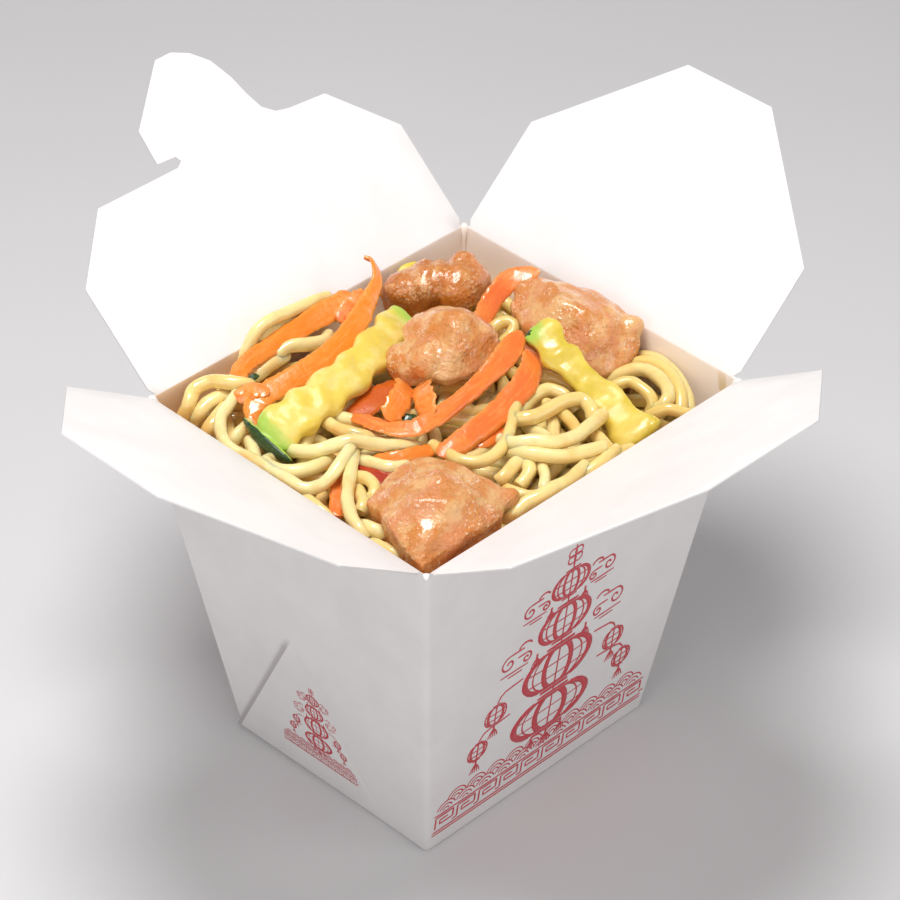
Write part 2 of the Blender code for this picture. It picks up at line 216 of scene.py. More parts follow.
def noise_value(tree, place, scale, detail, **more):
    inputs = {"Vector": place, "Scale": scale, "Detail": detail, **more}
    return add(tree, "ShaderNodeTexNoise", inputs)


def ranged(tree, value, low, high, start=0.0, end=1.0, shape="SMOOTHSTEP"):
    """A value's range from low..high drawn out to start..end."""
    inputs = {"Value": value, "From Min": low, "From Max": high, "To Min": start, "To Max": end}
    return add(tree, "ShaderNodeMapRange", inputs, interpolation_type=shape)


def axes_of(tree, vector):
    return add(tree, "ShaderNodeSeparateXYZ", {0: vector}).outputs


def colour_mix(tree, share, first, second):
    """Mixes two colours, each (r, g, b) or a socket. Returns the result's socket."""
    first, second = ((*c, 1) if isinstance(c, tuple) else c for c in (first, second))
    return add(tree, "ShaderNodeMix", {0: share, 6: first, 7: second}, data_type="RGBA").outputs[2]


def new_group(name, inputs, outputs, output_type="Float", kind="ShaderNodeTree"):
    """A node group. inputs is {name: default value, or the type of a socket that has none}."""
    tree = bpy.data.node_groups.new(name, kind)
    value_types = {int: "Int", float: "Float", tuple: "Vector"}
    for label, value in inputs.items():
        socket_type = "NodeSocket" + value_types.get(type(value), value)
        made = tree.interface.new_socket(label, in_out="INPUT", socket_type=socket_type)
        if type(value) in value_types:
            made.default_value = value
    for label in outputs:
        tree.interface.new_socket(label, in_out="OUTPUT", socket_type="NodeSocket" + output_type)
    return tree, add(tree, "NodeGroupInput").outputs, add(tree, "NodeGroupOutput")


def use_group(tree, group, inputs):
    node = add(tree, "ShaderNodeGroup", node_tree=group)
    for key, value in inputs.items():
        set_input(tree, node, key, value)
    return node.outputs


def finish_tree(tree, out, geometry, finish):
    """Ends a Geometry Nodes tree: its geometry made real and given its finish."""
    real = add(tree, "GeometryNodeRealizeInstances", {"Geometry": geometry})
    done = add(tree, "GeometryNodeSetMaterial", {"Geometry": real, "Material": finish})
    set_input(tree, out, "Geometry", done)
    return tree


def new_material(name, **shader_values):
    """A material with a Principled BSDF, whose even values are set on its own sockets."""
    made = bpy.data.materials.new(name)
    made.use_nodes = True
    tree = made.node_tree
    shader = tree.nodes["Principled BSDF"]
    for label, value in shader_values.items():
        shader.inputs[label.replace("_", " ")].default_value = value
    return made, tree, shader, add(tree, "ShaderNodeTexCoord").outputs["Object"]


def attribute(tree, name):
    return add(tree, "ShaderNodeAttribute", attribute_name=name).outputs["Fac"]


# %% [markdown]
# ## Shared effects
#
# Three effects come back on several finishes. Soft patches break up an even colour. A wet film gives sauced
# food its glints, from a bump whose wrinkles are sharp in places and smooth in others. Paper grain is the
# faint cloudy fibre of board. Each is a group that only puts out masks and heights, so that the shader
# stays in the material itself.

# %% Soft patches
NOWHERE = (0.0, 0.0, 0.0)  # default of a place socket, which is always joined


def build_patches():
    inputs = {"Place": NOWHERE, "Patch size": 0.01, "From": 0.4, "To": 0.6, "Detail": 3.0}
    tree, given, out = new_group("soft patches", inputs, ["Mask"])
    scale = math_node(tree, "DIVIDE", 1.0, given["Patch size"])
    cloud = noise_value(tree, given["Place"], scale, given["Detail"], Roughness=0.55)
    set_input(tree, out, "Mask", ranged(tree, cloud, given["From"], given["To"]))
    return tree


PATCHES = build_patches()
print("group", PATCHES.name)


# %% Wet film
def build_wet_film():
    inputs = {"Place": NOWHERE, "Wrinkle size": 0.0015, "Beads": 0.3}
    tree, given, out = new_group("wet film", inputs, ["Height", "Pooled"])
    place, scale = given["Place"], math_node(tree, "DIVIDE", 1.0, given["Wrinkle size"])
    wrinkles = noise_value(tree, place, scale, 3.0, Roughness=0.5, Distortion=0.6)
    pooled = ranged(tree, noise_value(tree, place, times(tree, scale, 0.16), 2.0), 0.44, 0.6)
    cells = {"Vector": place, "Scale": times(tree, scale, 0.9)}
    beads = ranged(tree, add(tree, "ShaderNodeTexVoronoi", cells, feature="SMOOTH_F1"), 0.45, 0.1)
    dry = math_node(tree, "SUBTRACT", 1.0, times(tree, pooled, 0.75))
    height = math_node(tree, "ADD", times(tree, wrinkles, dry), times(tree, beads, given["Beads"]))
    set_input(tree, out, "Height", height)
    set_input(tree, out, "Pooled", pooled)
    return tree


WET_FILM = build_wet_film()
print("group", WET_FILM.name)


# %% Paper grain
def build_paper_grain():
    inputs = {"Place": NOWHERE, "Fibre length": 0.002}
    tree, given, out = new_group("paper grain", inputs, ["Cloud", "Height"])
    place, scale = given["Place"], math_node(tree, "DIVIDE", 1.0, given["Fibre length"])
    set_input(tree, out, "Cloud", noise_value(tree, place, times(tree, scale, 0.09), 3.0))
    set_input(tree, out, "Height", noise_value(tree, place, scale, 4.0, Roughness=0.65))
    return tree


PAPER_GRAIN = build_paper_grain()
print("group", PAPER_GRAIN.name)

# %% [markdown]
# ## Mesh helpers
#
# Pieces are written in millimetres and become metres in one place. A finished piece rides on the body that
# carries it, hides the CAD node it stands for, and takes the finish it is given.

# %% Helpers for pieces
def keep_piece(name, mesh, finish, body, slot, *stands_for):
    """Puts a mesh in metres into the scene as a finished piece."""
    mesh.name = name
    mesh.materials.clear()
    mesh.materials.append(finish)
    piece = into_scene(name, mesh)
    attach(piece, body)
    if stands_for:
        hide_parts(*stands_for)
    return piece


def mesh_from(bm, sharp_angle=None):
    """Turns a bmesh in millimetres into a smooth mesh in metres."""
    bmesh.ops.recalc_face_normals(bm, faces=bm.faces[:])
    bmesh.ops.scale(bm, vec=(MM, MM, MM), verts=bm.verts[:])
    mesh = bpy.data.meshes.new("shape")
    bm.to_mesh(mesh)
    bm.free()
    mesh.shade_smooth()
    if sharp_angle:
        mesh.set_sharp_from_angle(angle=math.radians(sharp_angle))
    return mesh


def apply_modifiers(obj):
    """The object's mesh with its modifiers applied. The object itself is removed."""
    bpy.context.view_layer.update()
    graph = bpy.context.evaluated_depsgraph_get()
    mesh = bpy.data.meshes.new_from_object(obj.evaluated_get(graph), preserve_all_data_layers=True,
                                           depsgraph=graph)
    bpy.data.objects.remove(obj)
    return mesh


def modified(mesh, *modifiers):
    """A mesh with modifiers applied, each given as (type, settings)."""
    work = into_scene("work", mesh)
    for kind, settings in modifiers:
        modifier = work.modifiers.new(kind, kind)
        for label, value in settings.items():
            setattr(modifier, label, value)
    return apply_modifiers(work)


def bmesh_of(mesh):
    """A mesh as a bmesh in millimetres, with its loose triangles merged."""
    bm = bmesh.new()
    bm.from_mesh(mesh)
    bmesh.ops.scale(bm, vec=(1 / MM, 1 / MM, 1 / MM), verts=bm.verts[:])
    bmesh.ops.remove_doubles(bm, verts=bm.verts[:], dist=0.001)
    return bm


def vertex_values(mesh, label):
    values = np.empty(len(mesh.vertices) * 3, np.float32)
    mesh.vertices.foreach_get(label, values)
    return values.reshape(-1, 3).astype(float)


def vertex_points(mesh):
    return vertex_values(mesh, "co") / MM


def set_points(mesh, points):
    mesh.vertices.foreach_set("co", (points * MM).astype(np.float32).ravel())
    mesh.update()


def push_out(mesh, push):
    """Moves each vertex out along its normal by its own push in mm, and returns the new points."""
    points = vertex_points(mesh) + vertex_values(mesh, "normal") * push[:, None]
    set_points(mesh, points)
    return points


def bridge(bm, low, high):
    """Faces between two closed rings of the same count."""
    for i in range(len(low)):
        j = (i + 1) % len(low)
        bm.faces.new((low[i], low[j], high[j], high[i]))


def swept(bm, rings):
    """A closed solid through rings of points, added to a bmesh."""
    rows = [[bm.verts.new(p) for p in ring] for ring in rings]
    for low, high in zip(rows, rows[1:]):
        bridge(bm, low, high)
    bm.faces.new(rows[0])
    bm.faces.new(rows[-1])
    return bm


def oval_rings(rows, sides, across=None):
    """An oval round each (place, half width, half thickness) of a path, upright unless across is given."""
    places = [row[0] for row in rows]
    rings = []
    for i, (place, half, thick) in enumerate(rows):
        tangent = (places[min(i + 1, len(rows) - 1)] - places[max(i - 1, 0)]).normalized()
        side = across or tangent.cross(UP).normalized()
        top = side.cross(tangent).normalized()
        turns = [math.tau * k / sides for k in range(sides)]
        rings.append([place + (side * (half * math.cos(a)) + top * (thick * math.sin(a))) for a in turns])
    return rings


print(len(nodes), "CAD nodes to dress")

# %% [markdown]
# ## Floor
#
# The box stands on a plain pale sheet. It's part of the studio and not of the object.

# %% Floor
FLOOR_SIZE = 4000.0
FLOOR_COLOUR = (0.80, 0.79, 0.80)


def make_floor():
    bm = bmesh.new()
    half = FLOOR_SIZE / 2
    corners = ((-half, -half), (half, -half), (half, half), (-half, half))
    bm.faces.new([bm.verts.new((x, y, -0.05)) for x, y in corners])
    floor_finish, tree, shader, place = new_material("floor", Roughness=0.6)
    soft = use_group(tree, PATCHES, {"Place": place, "Patch size": 0.25, "From": 0.2, "To": 0.8})["Mask"]
    shade = tuple(c * 0.96 for c in FLOOR_COLOUR)
    set_input(tree, shader, "Base Color", colour_mix(tree, soft, FLOOR_COLOUR, shade))
    mesh = mesh_from(bm)
    mesh.materials.append(floor_finish)
    into_scene("floor", mesh)


make_floor()

# %% [markdown]
# ## Coated board
#
# A food pail is cut from one sheet of bleached board about half a millimetre thick. It's white and nearly
# matt, with a faint cloudy grain. Inside, grease and warm sauce have soaked into it: the tint runs warmer
# towards the left, begins to fade near the rim in an uneven edge, and has a few thin, darker runs.

# %% Board finishes
BOARD_WHITE = (0.90, 0.88, 0.875)
BOARD_SHADE = (0.87, 0.845, 0.84)
BOARD_HANDLED = (0.82, 0.78, 0.77)
STAIN_COLOURS = ((0.94, 0.80, 0.70), (0.87, 0.53, 0.25))
DRIP_COLOUR = (0.62, 0.44, 0.14)
WEB_FEET = (32.6, -19.0)  # a web's feet along the wall, to the left as seen from outside
WEB_APEX = (7.7, 46.0)
# painted shade: the side walls' colour darkens along each web's fold
PAINTED_FOLD_SHADE = (0.55, 0.52, 0.51)
FOLD_REACH = 1.9  # how far the shade along a web's fold reaches
STAIN_HEIGHTS = (RIM_Z - 6, RIM_Z + 20)  # full below the first, gone above the second


def board_colour(tree, place):
    grain = use_group(tree, PAPER_GRAIN, {"Place": place, "Fibre length": 0.0011})
    cloud = ranged(tree, grain["Cloud"], 0.35, 0.65, shape="LINEAR")
    return colour_mix(tree, cloud, BOARD_WHITE, BOARD_SHADE), grain["Height"]


def board_bump(tree, shader, height, distance=0.00002, strength=0.35):
    bump = add(tree, "ShaderNodeBump", {"Height": height, "Distance": distance, "Strength": strength})
    set_input(tree, shader, "Normal", bump)


def painted_fold_shade(tree, place):
    """A mask for the line of painted shade on a side wall along the upper edge of its folded web."""
    parts = axes_of(tree, place)
    facing = axes_of(tree, add(tree, "ShaderNodeNewGeometry").outputs["Normal"])
    on_side = math_node(tree, "GREATER_THAN", math_node(tree, "ABSOLUTE", facing["X"]), 0.7)
    left = times(tree, parts["Y"], math_node(tree, "SIGN", parts["X"]))
    edge = (Vector(WEB_APEX) - Vector((WEB_FEET[0], 0))).normalized()
    off_left = times(tree, math_node(tree, "ADD", left, WEB_APEX[0] * MM), -edge.y)
    off_up = times(tree, math_node(tree, "SUBTRACT", parts["Z"], WEB_APEX[1] * MM), -edge.x)
    away = math_node(tree, "ADD", off_left, off_up)
    soft = ranged(tree, away, 0.0, FOLD_REACH * MM, 1.0, 0.0, "SMOOTHERSTEP")
    near = math_node(tree, "GREATER_THAN", away, -0.6 * MM)
    low = ranged(tree, parts["Z"], (WEB_APEX[1] + 1.5) * MM, (WEB_APEX[1] - 3) * MM, shape="LINEAR")
    return times(tree, soft, near, low, on_side)


def build_outer_board():
    made, tree, shader, place = new_material("coated_board", Roughness=0.5, Specular_IOR_Level=0.4)
    colour, height = board_colour(tree, place)
    handled = use_group(tree, PATCHES, {"Place": place, "Patch size": 0.03, "From": 0.5, "To": 0.72})["Mask"]
    colour = colour_mix(tree, times(tree, handled, 0.35), colour, BOARD_HANDLED)
    # painted shade along the webs' folds
    colour = colour_mix(tree, painted_fold_shade(tree, place), colour, PAINTED_FOLD_SHADE)
    set_input(tree, shader, "Base Color", colour)
    board_bump(tree, shader, height)
    return made


def build_stained_board():
    made, tree, shader, place = new_material("stained_board", Roughness=0.45, Specular_IOR_Level=0.45)
    colour, height = board_colour(tree, place)
    parts = axes_of(tree, place)
    uneven = math_node(tree, "SUBTRACT", noise_value(tree, place, 60.0, 4.0), 0.5)
    level = math_node(tree, "ADD", parts["Z"], times(tree, uneven, 0.016))
    soaked = ranged(tree, level, STAIN_HEIGHTS[1] * MM, STAIN_HEIGHTS[0] * MM)
    # the inside's tint runs warmer towards the left
    stain = colour_mix(tree, ranged(tree, parts["X"], 0.02, -0.045), *STAIN_COLOURS)
    colour = colour_mix(tree, times(tree, soaked, 0.8), colour, stain)
    drip_place = add(tree, "ShaderNodeMapping", {"Vector": place, "Scale": (1.0, 1.0, 0.3)})
    drips = use_group(tree, PATCHES, {"Place": drip_place, "Patch size": 0.007, "From": 0.63, "To": 0.7})
    low = ranged(tree, level, (RIM_Z + 1) * MM, (RIM_Z - 3) * MM, shape="LINEAR")
    colour = colour_mix(tree, times(tree, drips["Mask"], low, 0.6), colour, DRIP_COLOUR)
    set_input(tree, shader, "Base Color", colour)
    set_input(tree, shader, "Roughness", math_node(tree, "SUBTRACT", 0.48, times(tree, soaked, 0.16)))
    board_bump(tree, shader, height)
    return made


BOARD_FINISH = build_outer_board()
INNER_FINISH = build_stained_board()
print("finishes", BOARD_FINISH.name, INNER_FINISH.name)

# %% [markdown]
# ## The walls
#
# The walls flare from the foot to the rim and meet in softly folded upright edges, two of which stand out
# where the pleats behind them are thickest. A filled box isn't quite flat, so each wall bellies by a third
# of a millimetre. One function gives any point of a wall from its place along, its height and how far it
# stands proud, and everything on the walls uses it: the shell, the folded webs and the print.

# %% A point on a wall
CORNER_RADIUS = 1.6
CORNER_STEPS = 6
BULGES = {(-1, 1): 1.6, (1, -1): 0.8}  # pleats that stand out, by the signs of their corner
BULGE_Z = 70.0
BULGE_REACH = 9.0
BULGE_SOFTNESS = 6.0
WALL_BOW = 0.35
WALLS = {"front": Vector((0, -1, 0)), "back": Vector((0, 1, 0)),
         "left": Vector((-1, 0, 0)), "right": Vector((1, 0, 0))}


def bulge_share(z):
    """How much of the pleat's bulge shows at height z: a rounded peak at BULGE_Z."""
    rise = z / BULGE_Z if z < BULGE_Z else (RIM_Z - z) / (RIM_Z - BULGE_Z)
    soften = BULGE_SOFTNESS / BULGE_Z
    return max(rise, 0.0) if rise < 1 - soften else 1 - soften / 2 - (1 - rise) ** 2 / (2 * soften)


def wall_point(outward, along, z, proud=0.0, inset=0.0):
    """A point on a wall. along is from the middle, to the right as seen from outside."""
    right = UP.cross(outward)
    half_x, half_y = half_size(min(z, RIM_Z), inset)
    reach, depth = (half_y, half_x) if outward.x else (half_x, half_y)
    flat = reach - CORNER_RADIUS + inset
    side = 1 if along > 0 else -1
    corner = outward + right * side
    bulge = BULGES.get((round(corner.x), round(corner.y)), 0.0) * bulge_share(z)
    ramp = max(0.0, 1 - (flat - abs(along)) / (BULGE_REACH - CORNER_RADIUS))
    ramp = min(ramp, 1.0) * bulge
    belly = WALL_BOW * max(0.0, 1 - (along / flat) ** 2) * math.sin(math.pi * min(z / RIM_Z, 1))
    return outward * (depth + ramp + belly + proud) + right * (along + side * ramp) + UP * z


print("middle of the left wall", [round(x, 2) for x in wall_point(WALLS["left"], 0, 50)])

# %% The shell's rings
WALL_STEPS = 12
OUTER_LEVELS = (98, 92, 85, 78, 74, 70, 66, 60, 52, 44, 36, 28, 20, 12, 5, 1.6)
INNER_LEVELS = (0.5, 1.2, 5, 20, 36, 52, 66, 70, 78, 85, 90, 94, 98, 101)
EDGE_STEPS = 5
EDGE_RADIUS = 0.44  # the round in which a wall ends about its crease
EDGE_END = math.radians(80)
BOTTOM_EDGE = 1.0  # radius of the fold round the bottom


def wall_ring(z, inset):
    """The outline at height z, anticlockwise."""
    points = []
    radius = CORNER_RADIUS - min(inset, CORNER_RADIUS - 0.2)
    half_x, half_y = half_size(min(z, RIM_Z), inset)
    for name in ("right", "back", "left", "front"):
        outward = WALLS[name]
        right = UP.cross(outward)
        flat = (half_y if outward.x else half_x) - radius
        for step in range(WALL_STEPS + 1):
            share = math.sin(math.pi / 2 * (2 * step / WALL_STEPS - 1))
            points.append(wall_point(outward, share * flat, z, inset=inset))
        centre = points[-1] - outward * radius
        for step in range(1, CORNER_STEPS):
            angle = math.pi / 2 * step / CORNER_STEPS
            points.append(centre + outward * (radius * math.cos(angle)) + right * (radius * math.sin(angle)))
    return points


def shell_profile():
    """(height, inset) of each ring, from the inner floor over the rim and down to the bottom."""
    lean = math.atan2(TOP_HALF[0] - FOOT_HALF[0], RIM_Z)
    profile = [(z, BOARD) for z in INNER_LEVELS]
    for step in range(EDGE_STEPS):
        angle = lean + (EDGE_END - lean) * step / (EDGE_STEPS - 1)
        profile.append((RIM_Z + EDGE_RADIUS * math.sin(angle), EDGE_RADIUS * math.cos(angle)))
    profile += [(RIM_Z, 0.0), *((z, 0.0) for z in OUTER_LEVELS)]
    for step in range(1, EDGE_STEPS):
        angle = math.pi / 2 * step / (EDGE_STEPS - 1)
        profile.append((BOTTOM_EDGE * (1 - math.sin(angle)), BOTTOM_EDGE * (1 - math.cos(angle))))
    return profile


def make_walls():
    rings = [wall_ring(z, inset) for z, inset in shell_profile()]
    mesh = mesh_from(swept(bmesh.new(), rings), 30)
    walls = keep_piece("walls", mesh, BOARD_FINISH, "box", "board", "box_body")
    mesh.materials.append(INNER_FINISH)
    for face in mesh.polygons:
        outwards = Vector((face.center.x, face.center.y, 0)).normalized()
        inner = face.normal.dot(outwards) < -0.3 or (face.normal.z > 0.5 and face.center.z < 2 * MM)
        face.material_index = int(inner)
    print(walls.name, len(mesh.polygons), "faces,", sum(f.material_index for f in mesh.polygons), "inside")


make_walls()

# %% [markdown]
# ## Folded webs
#
# Two opposite corners of the pail are pleated, and the spare board is folded flat on the outside of the
# side walls as a triangle. One edge of it is a fold that stands about a millimetre proud, and the soft
# shadow beside it is painted shade in the side wall's colour; the other is only a crease. So each web is
# a wedge that thins out towards its far foot.

# %% Webs
WEB_PROUD = 1.15
WEB_THIN = 0.06
WEB_SUNK = -0.25
WEB_GRID = 7.0


def web_height(left, z):
    """How far a web's face stands proud of the wall, at a place to the left of its middle."""
    foot, thin = WEB_FEET
    across = (left - thin) * WEB_APEX[1] - z * (WEB_APEX[0] - thin)
    full = (foot - thin) * WEB_APEX[1]
    return WEB_THIN + (WEB_PROUD - WEB_THIN) * min(max(across / full, 0.0), 1.0)


def in_web(left, z):
    """True inside the web's triangle."""
    high = z / WEB_APEX[1]
    low_left = WEB_FEET[0] + (WEB_APEX[0] - WEB_FEET[0]) * high
    low_right = WEB_FEET[1] + (WEB_APEX[0] - WEB_FEET[1]) * high
    return z < WEB_APEX[1] and low_right < left < low_left


def cut_into_grid(bm, axis, low, high, spacing):
    """Cuts a flat mesh along one axis, so that it can follow a curved surface."""
    count = max(int(abs(high - low) / spacing), 1)
    normal = Vector([float(k == axis) for k in range(3)])
    for step in range(1, count):
        place = normal * (low + (high - low) * step / count)
        geometry = bm.verts[:] + bm.edges[:] + bm.faces[:]
        bmesh.ops.bisect_plane(bm, geom=geometry, plane_co=place, plane_no=normal, dist=0.001)


def thick_sheet(flat, chain_at):
    """A closed solid over a flat mesh. chain_at gives the 3D points at one place, from top to bottom."""
    bm = bmesh.new()
    chains = {v: [bm.verts.new(point) for point in chain_at(v.co)] for v in flat.verts}
    for face in flat.faces:
        bm.faces.new([chains[v][0] for v in face.verts])
        bm.faces.new([chains[v][-1] for v in reversed(face.verts)])
    for edge in flat.edges:
        if not edge.is_boundary:
            continue
        first, second = (chains[v] for v in edge.verts)
        if len(first) != len(second):
            bm.faces.new(max(first, second, key=len))
            first, second = ((chain[0], chain[-1]) for chain in (first, second))
        for k in range(len(first) - 1):
            bm.faces.new((first[k], second[k], second[k + 1], first[k + 1]))
    flat.free()
    return bm


def bevelled(mesh, width, segments=2):
    done = modified(mesh, ("BEVEL", {"width": width * MM, "segments": segments, "limit_method": "ANGLE",
                                     "angle_limit": math.radians(50)}))
    done.shade_smooth()
    done.set_sharp_from_angle(angle=math.radians(40))
    return done


def make_web(wall):
    outward = WALLS[wall]
    flat = bmesh.new()
    corners = ((WEB_FEET[0], 0.9), WEB_APEX, (WEB_FEET[1], 0.9))
    flat.faces.new([flat.verts.new((left, z, 0)) for left, z in corners])
    cut_into_grid(flat, 0, WEB_FEET[1], WEB_FEET[0], WEB_GRID)
    cut_into_grid(flat, 1, 0.0, WEB_APEX[1], WEB_GRID)
    bm = thick_sheet(flat, lambda p: [wall_point(outward, -p.x, p.y, proud)
                                      for proud in (web_height(p.x, p.y), WEB_SUNK)])
    keep_piece("web_" + wall, bevelled(mesh_from(bm), 0.22, 3), BOARD_FINISH, "box", "board")
    print("web on the", wall, "wall")


for web_wall in ("left", "right"):
    make_web(web_wall)

# %% [markdown]
# ## Flaps
#
# The four closing flaps hinge on scored creases at the rim. Each takes its outline from its CAD node and its
# place from its joint. A wall ends in a quarter round about its crease, and a flap begins in one, so the
# two are one round fold at every angle of the flap. Handled board is never flat, so each flap curls and
# twists a little towards its tip.

# %% Flaps
FLAP_GRID = 5.0
FOLD_STEPS = 4
FOLD_RADIUS = 0.4  # a flap's round lies just inside the wall's, whatever the flap's angle
ROOT_NOTCH = 1.3  # the die cuts a small corner off each end of the crease
FLAP_SHAPES = {
    # name: (curl and twist at the tip in mm, degrees of its round, fewer where it closes further)
    "flap_front": (0.7, 0.5, 78), "flap_left": (-0.9, -0.4, 40),
    "flap_right": (0.8, 0.4, 40), "flap_back": (-0.6, 0.6, 78),
}


def crease_frame(name):
    """The crease's middle, and the directions along it, away from it in the flap, and out of its face."""
    joint = creases[name]
    middle = Vector(joint["pos_m"]) / MM
    largest = max(nodes[name].data.polygons, key=lambda f: f.area * (f.normal.z > 0))
    face = largest.normal.normalized()
    along = Vector((middle.x, middle.y, 0)).normalized().cross(UP)
    return middle, along, face.cross(along), face


def flap_outline(name):
    """The flap's outline as (along, away) from its crease, in order."""
    middle, along, away, face = crease_frame(name)
    bm = bmesh_of(nodes[name].data)
    inside = {f for f in bm.faces if f.normal.dot(face) > 0.9}
    edges = [e for e in bm.edges if sum(f in inside for f in e.link_faces) == 1]
    follow = {}
    for edge in edges:
        for v in edge.verts:
            follow.setdefault(v, []).append(edge.other_vert(v))
    loop = [None, edges[0].verts[0]]
    while len(loop) <= len(edges):
        loop.append([v for v in follow[loop[-1]] if v is not loop[-2]][0])
    outline = [((v.co - middle).dot(along), (v.co - middle).dot(away)) for v in loop[1:]]
    bm.free()
    return outline


def notched(outline):
    """The outline with its root moved onto the crease, and the root's two corners cut off."""
    notched_outline = []
    for u, v in outline:
        if v > 2 * BOARD:
            notched_outline.append((u, v))
            continue
        side = 1 if u > 0 else -1
        cut = [(u, ROOT_NOTCH * 1.6), (u - side * ROOT_NOTCH, 0.0)]
        before = outline[outline.index((u, v)) - 1]
        notched_outline += cut if before[1] > 2 * BOARD else cut[::-1]
    return notched_outline


def make_flap(name):
    middle, along, away, face = crease_frame(name)
    curl, twist, round_span = FLAP_SHAPES[name]
    outline = notched(flap_outline(name))
    reach = max(v for u, v in outline)
    half = max(u for u, v in outline)

    def place(u, v, depth):
        rise = curl * (v / reach) ** 2 + twist * (u / half) * (v / reach) ** 2
        return middle + along * u + away * v + face * (depth + rise)

    def chain_at(p):
        angles = [math.radians(round_span) * step / FOLD_STEPS for step in range(1, FOLD_STEPS + 1)]
        fold = [(-FOLD_RADIUS * math.sin(a), FOLD_RADIUS * math.cos(a)) for a in angles if p.y < 0.01]
        return [place(p.x, v, depth) for v, depth in ((p.y, BOARD), *fold, (p.y, 0))]

    flat = bmesh.new()
    flat.faces.new([flat.verts.new((u, v, 0)) for u, v in outline])
    cut_into_grid(flat, 0, -half, half, FLAP_GRID)
    cut_into_grid(flat, 1, 0.0, reach, FLAP_GRID)
    mesh = bevelled(mesh_from(thick_sheet(flat, chain_at)), 0.1)
    keep_piece(name + "_board", mesh, BOARD_FINISH, name, "board", name)
    print(name, "reaches", round(reach, 1), "mm,", len(mesh.polygons), "faces")


for flap_name in FLAP_SHAPES:
    make_flap(flap_name)

# %% [markdown]
# ## Rim corners
#
# Where two creases meet, the pleat that makes the corner ends in a small tongue of doubled board. It
# stands up between the roots of the two flaps and curls over the corner. Below it the pleat runs down
# inside the corner as a thin fold.

# %% Tongues and pleats
TONGUE_PATH = (  # (out from the corner along its diagonal, height above the rim, half width)
    (-2.0, -7.0, 0.35), (-1.7, -3.0, 0.5), (-1.3, -0.9, 0.8), (-0.6, 0.3, 0.85), (0.2, 0.55, 0.8),
    (0.8, 0.3, 0.65), (1.1, -0.1, 0.5), (1.2, -0.4, 0.3))
TONGUE_THICK = 0.6
TONGUE_SIDES = 10
PLEAT_FOOT = 4.0


def make_rim_corner(signs):
    corner = Vector((signs[0] * (TOP_HALF[0] - 0.35), signs[1] * (TOP_HALF[1] - 0.35), RIM_Z))
    outward = Vector((*signs, 0)).normalized()
    rows = [(corner + outward * out + UP * rise, half, TONGUE_THICK / 2) for out, rise, half in TONGUE_PATH]
    foot_half = half_size(PLEAT_FOOT, 1.3)
    foot = Vector((signs[0] * foot_half[0], signs[1] * foot_half[1], PLEAT_FOOT))
    rows.insert(0, (foot, 0.3, TONGUE_THICK * 0.3))
    rows[-1] = (*rows[-1][:2], TONGUE_THICK * 0.3)
    bm = swept(bmesh.new(), oval_rings(rows, TONGUE_SIDES, UP.cross(outward)))
    mesh = modified(mesh_from(bm), ("SUBSURF", {"levels": 2, "render_levels": 2}))
    name = "tongue_" + ("back_" if signs[1] > 0 else "front_") + ("right" if signs[0] > 0 else "left")
    keep_piece(name, mesh, INNER_FINISH if min(signs) > 0 else BOARD_FINISH, "box", "board")
    print(name)


for corner_signs in ((-1, -1), (1, -1), (-1, 1), (1, 1)):
    make_rim_corner(corner_signs)

# %% [markdown]
# ## The print
#
# The box carries one colour of ink: a big figure on the two wide walls, and the same figure small on the
# two side walls, over the webs. The figure is this lesson's own: a string of paper lanterns that grow
# downwards, between curled clouds, over a row of waves and a key band. It is drawn as strokes, each a
# path with a width, in millimetres on a flat sheet, with small functions for what repeats.

# %% Strokes
def line(*points, width=0.6):
    return [(list(points), width)]


def arc(x, z, half_x, half_z, start, end, width=0.6, steps=12):
    angles = [math.radians(start + (end - start) * k / steps) for k in range(steps + 1)]
    return [([(x + half_x * math.cos(a), z + half_z * math.sin(a)) for a in angles], width)]


def curl(x, z, size, side, width=0.6):
    """A spiral that opens into a level tail."""
    turns = [math.tau * 1.25 * k / 22 for k in range(23)]
    reaches = [size * (1 - t / 9.2) for t in turns]
    spiral = [(x + side * reach * math.sin(t), z + reach * math.cos(t)) for t, reach in zip(turns, reaches)]
    return [(spiral, width)] + line((x, z + size), (x - side * size * 1.8, z + size), width=width)


def cloud(x, z, size, side):
    drawn = curl(x, z, size, side) + curl(x - side * size * 2.3, z - size * 0.5, size * 0.66, -side)
    drawn += arc(x - side * size * 1.9, z + size * 1.05, size * 0.8, size * 0.6, 10, 170)
    for k in range(2):
        low = z - size * (1.35 + 0.45 * k)
        drawn += line((x - side * size * (2.6 - 0.7 * k), low), (x + side * size * (0.9 - k), low), width=0.5)
    return drawn


def tassel(x, z, length, strands=5):
    drawn = line((x, z), (x, z - length * 0.3), width=0.9)
    for k in range(strands):
        lean = (k / (strands - 1) - 0.5) * length * 0.75
        bend, end = (x + lean * 0.7, z - length * 0.65), (x + lean, z - length)
        drawn += line((x, z - length * 0.3), bend, end, width=0.42)
    return drawn


def lantern(x, z, width, height, ribs=7):
    """A ribbed paper lantern with its caps. Every other gore is inked in solid."""
    drawn = []
    for k in range(ribs):
        share = math.sin((2 * k / (ribs - 1) - 1) * math.pi / 2)
        half = width / 2 * share
        bold = width / ribs * 0.62 if k % 2 else 0.5
        points = []
        for step in range(11):
            angle = math.radians(-68 + 136 * step / 10)
            points.append((x + half * math.cos(angle) ** 0.7, z + height / 2 * math.sin(angle) * 1.07))
        drawn.append((points, bold))
    for level in (-0.17, 0.17):
        drawn += arc(x, z + level * height, width * 0.47, height * 0.07, 180, 360, 0.4)
    bold = max(height * 0.085, 0.5)
    for end in (-1, 1):
        for rise, reach in ((0.5, 0.25), (0.6, 0.2)):
            level = z + end * height * rise
            drawn += line((x - width * reach, level), (x + width * reach, level), width=bold)
    return drawn


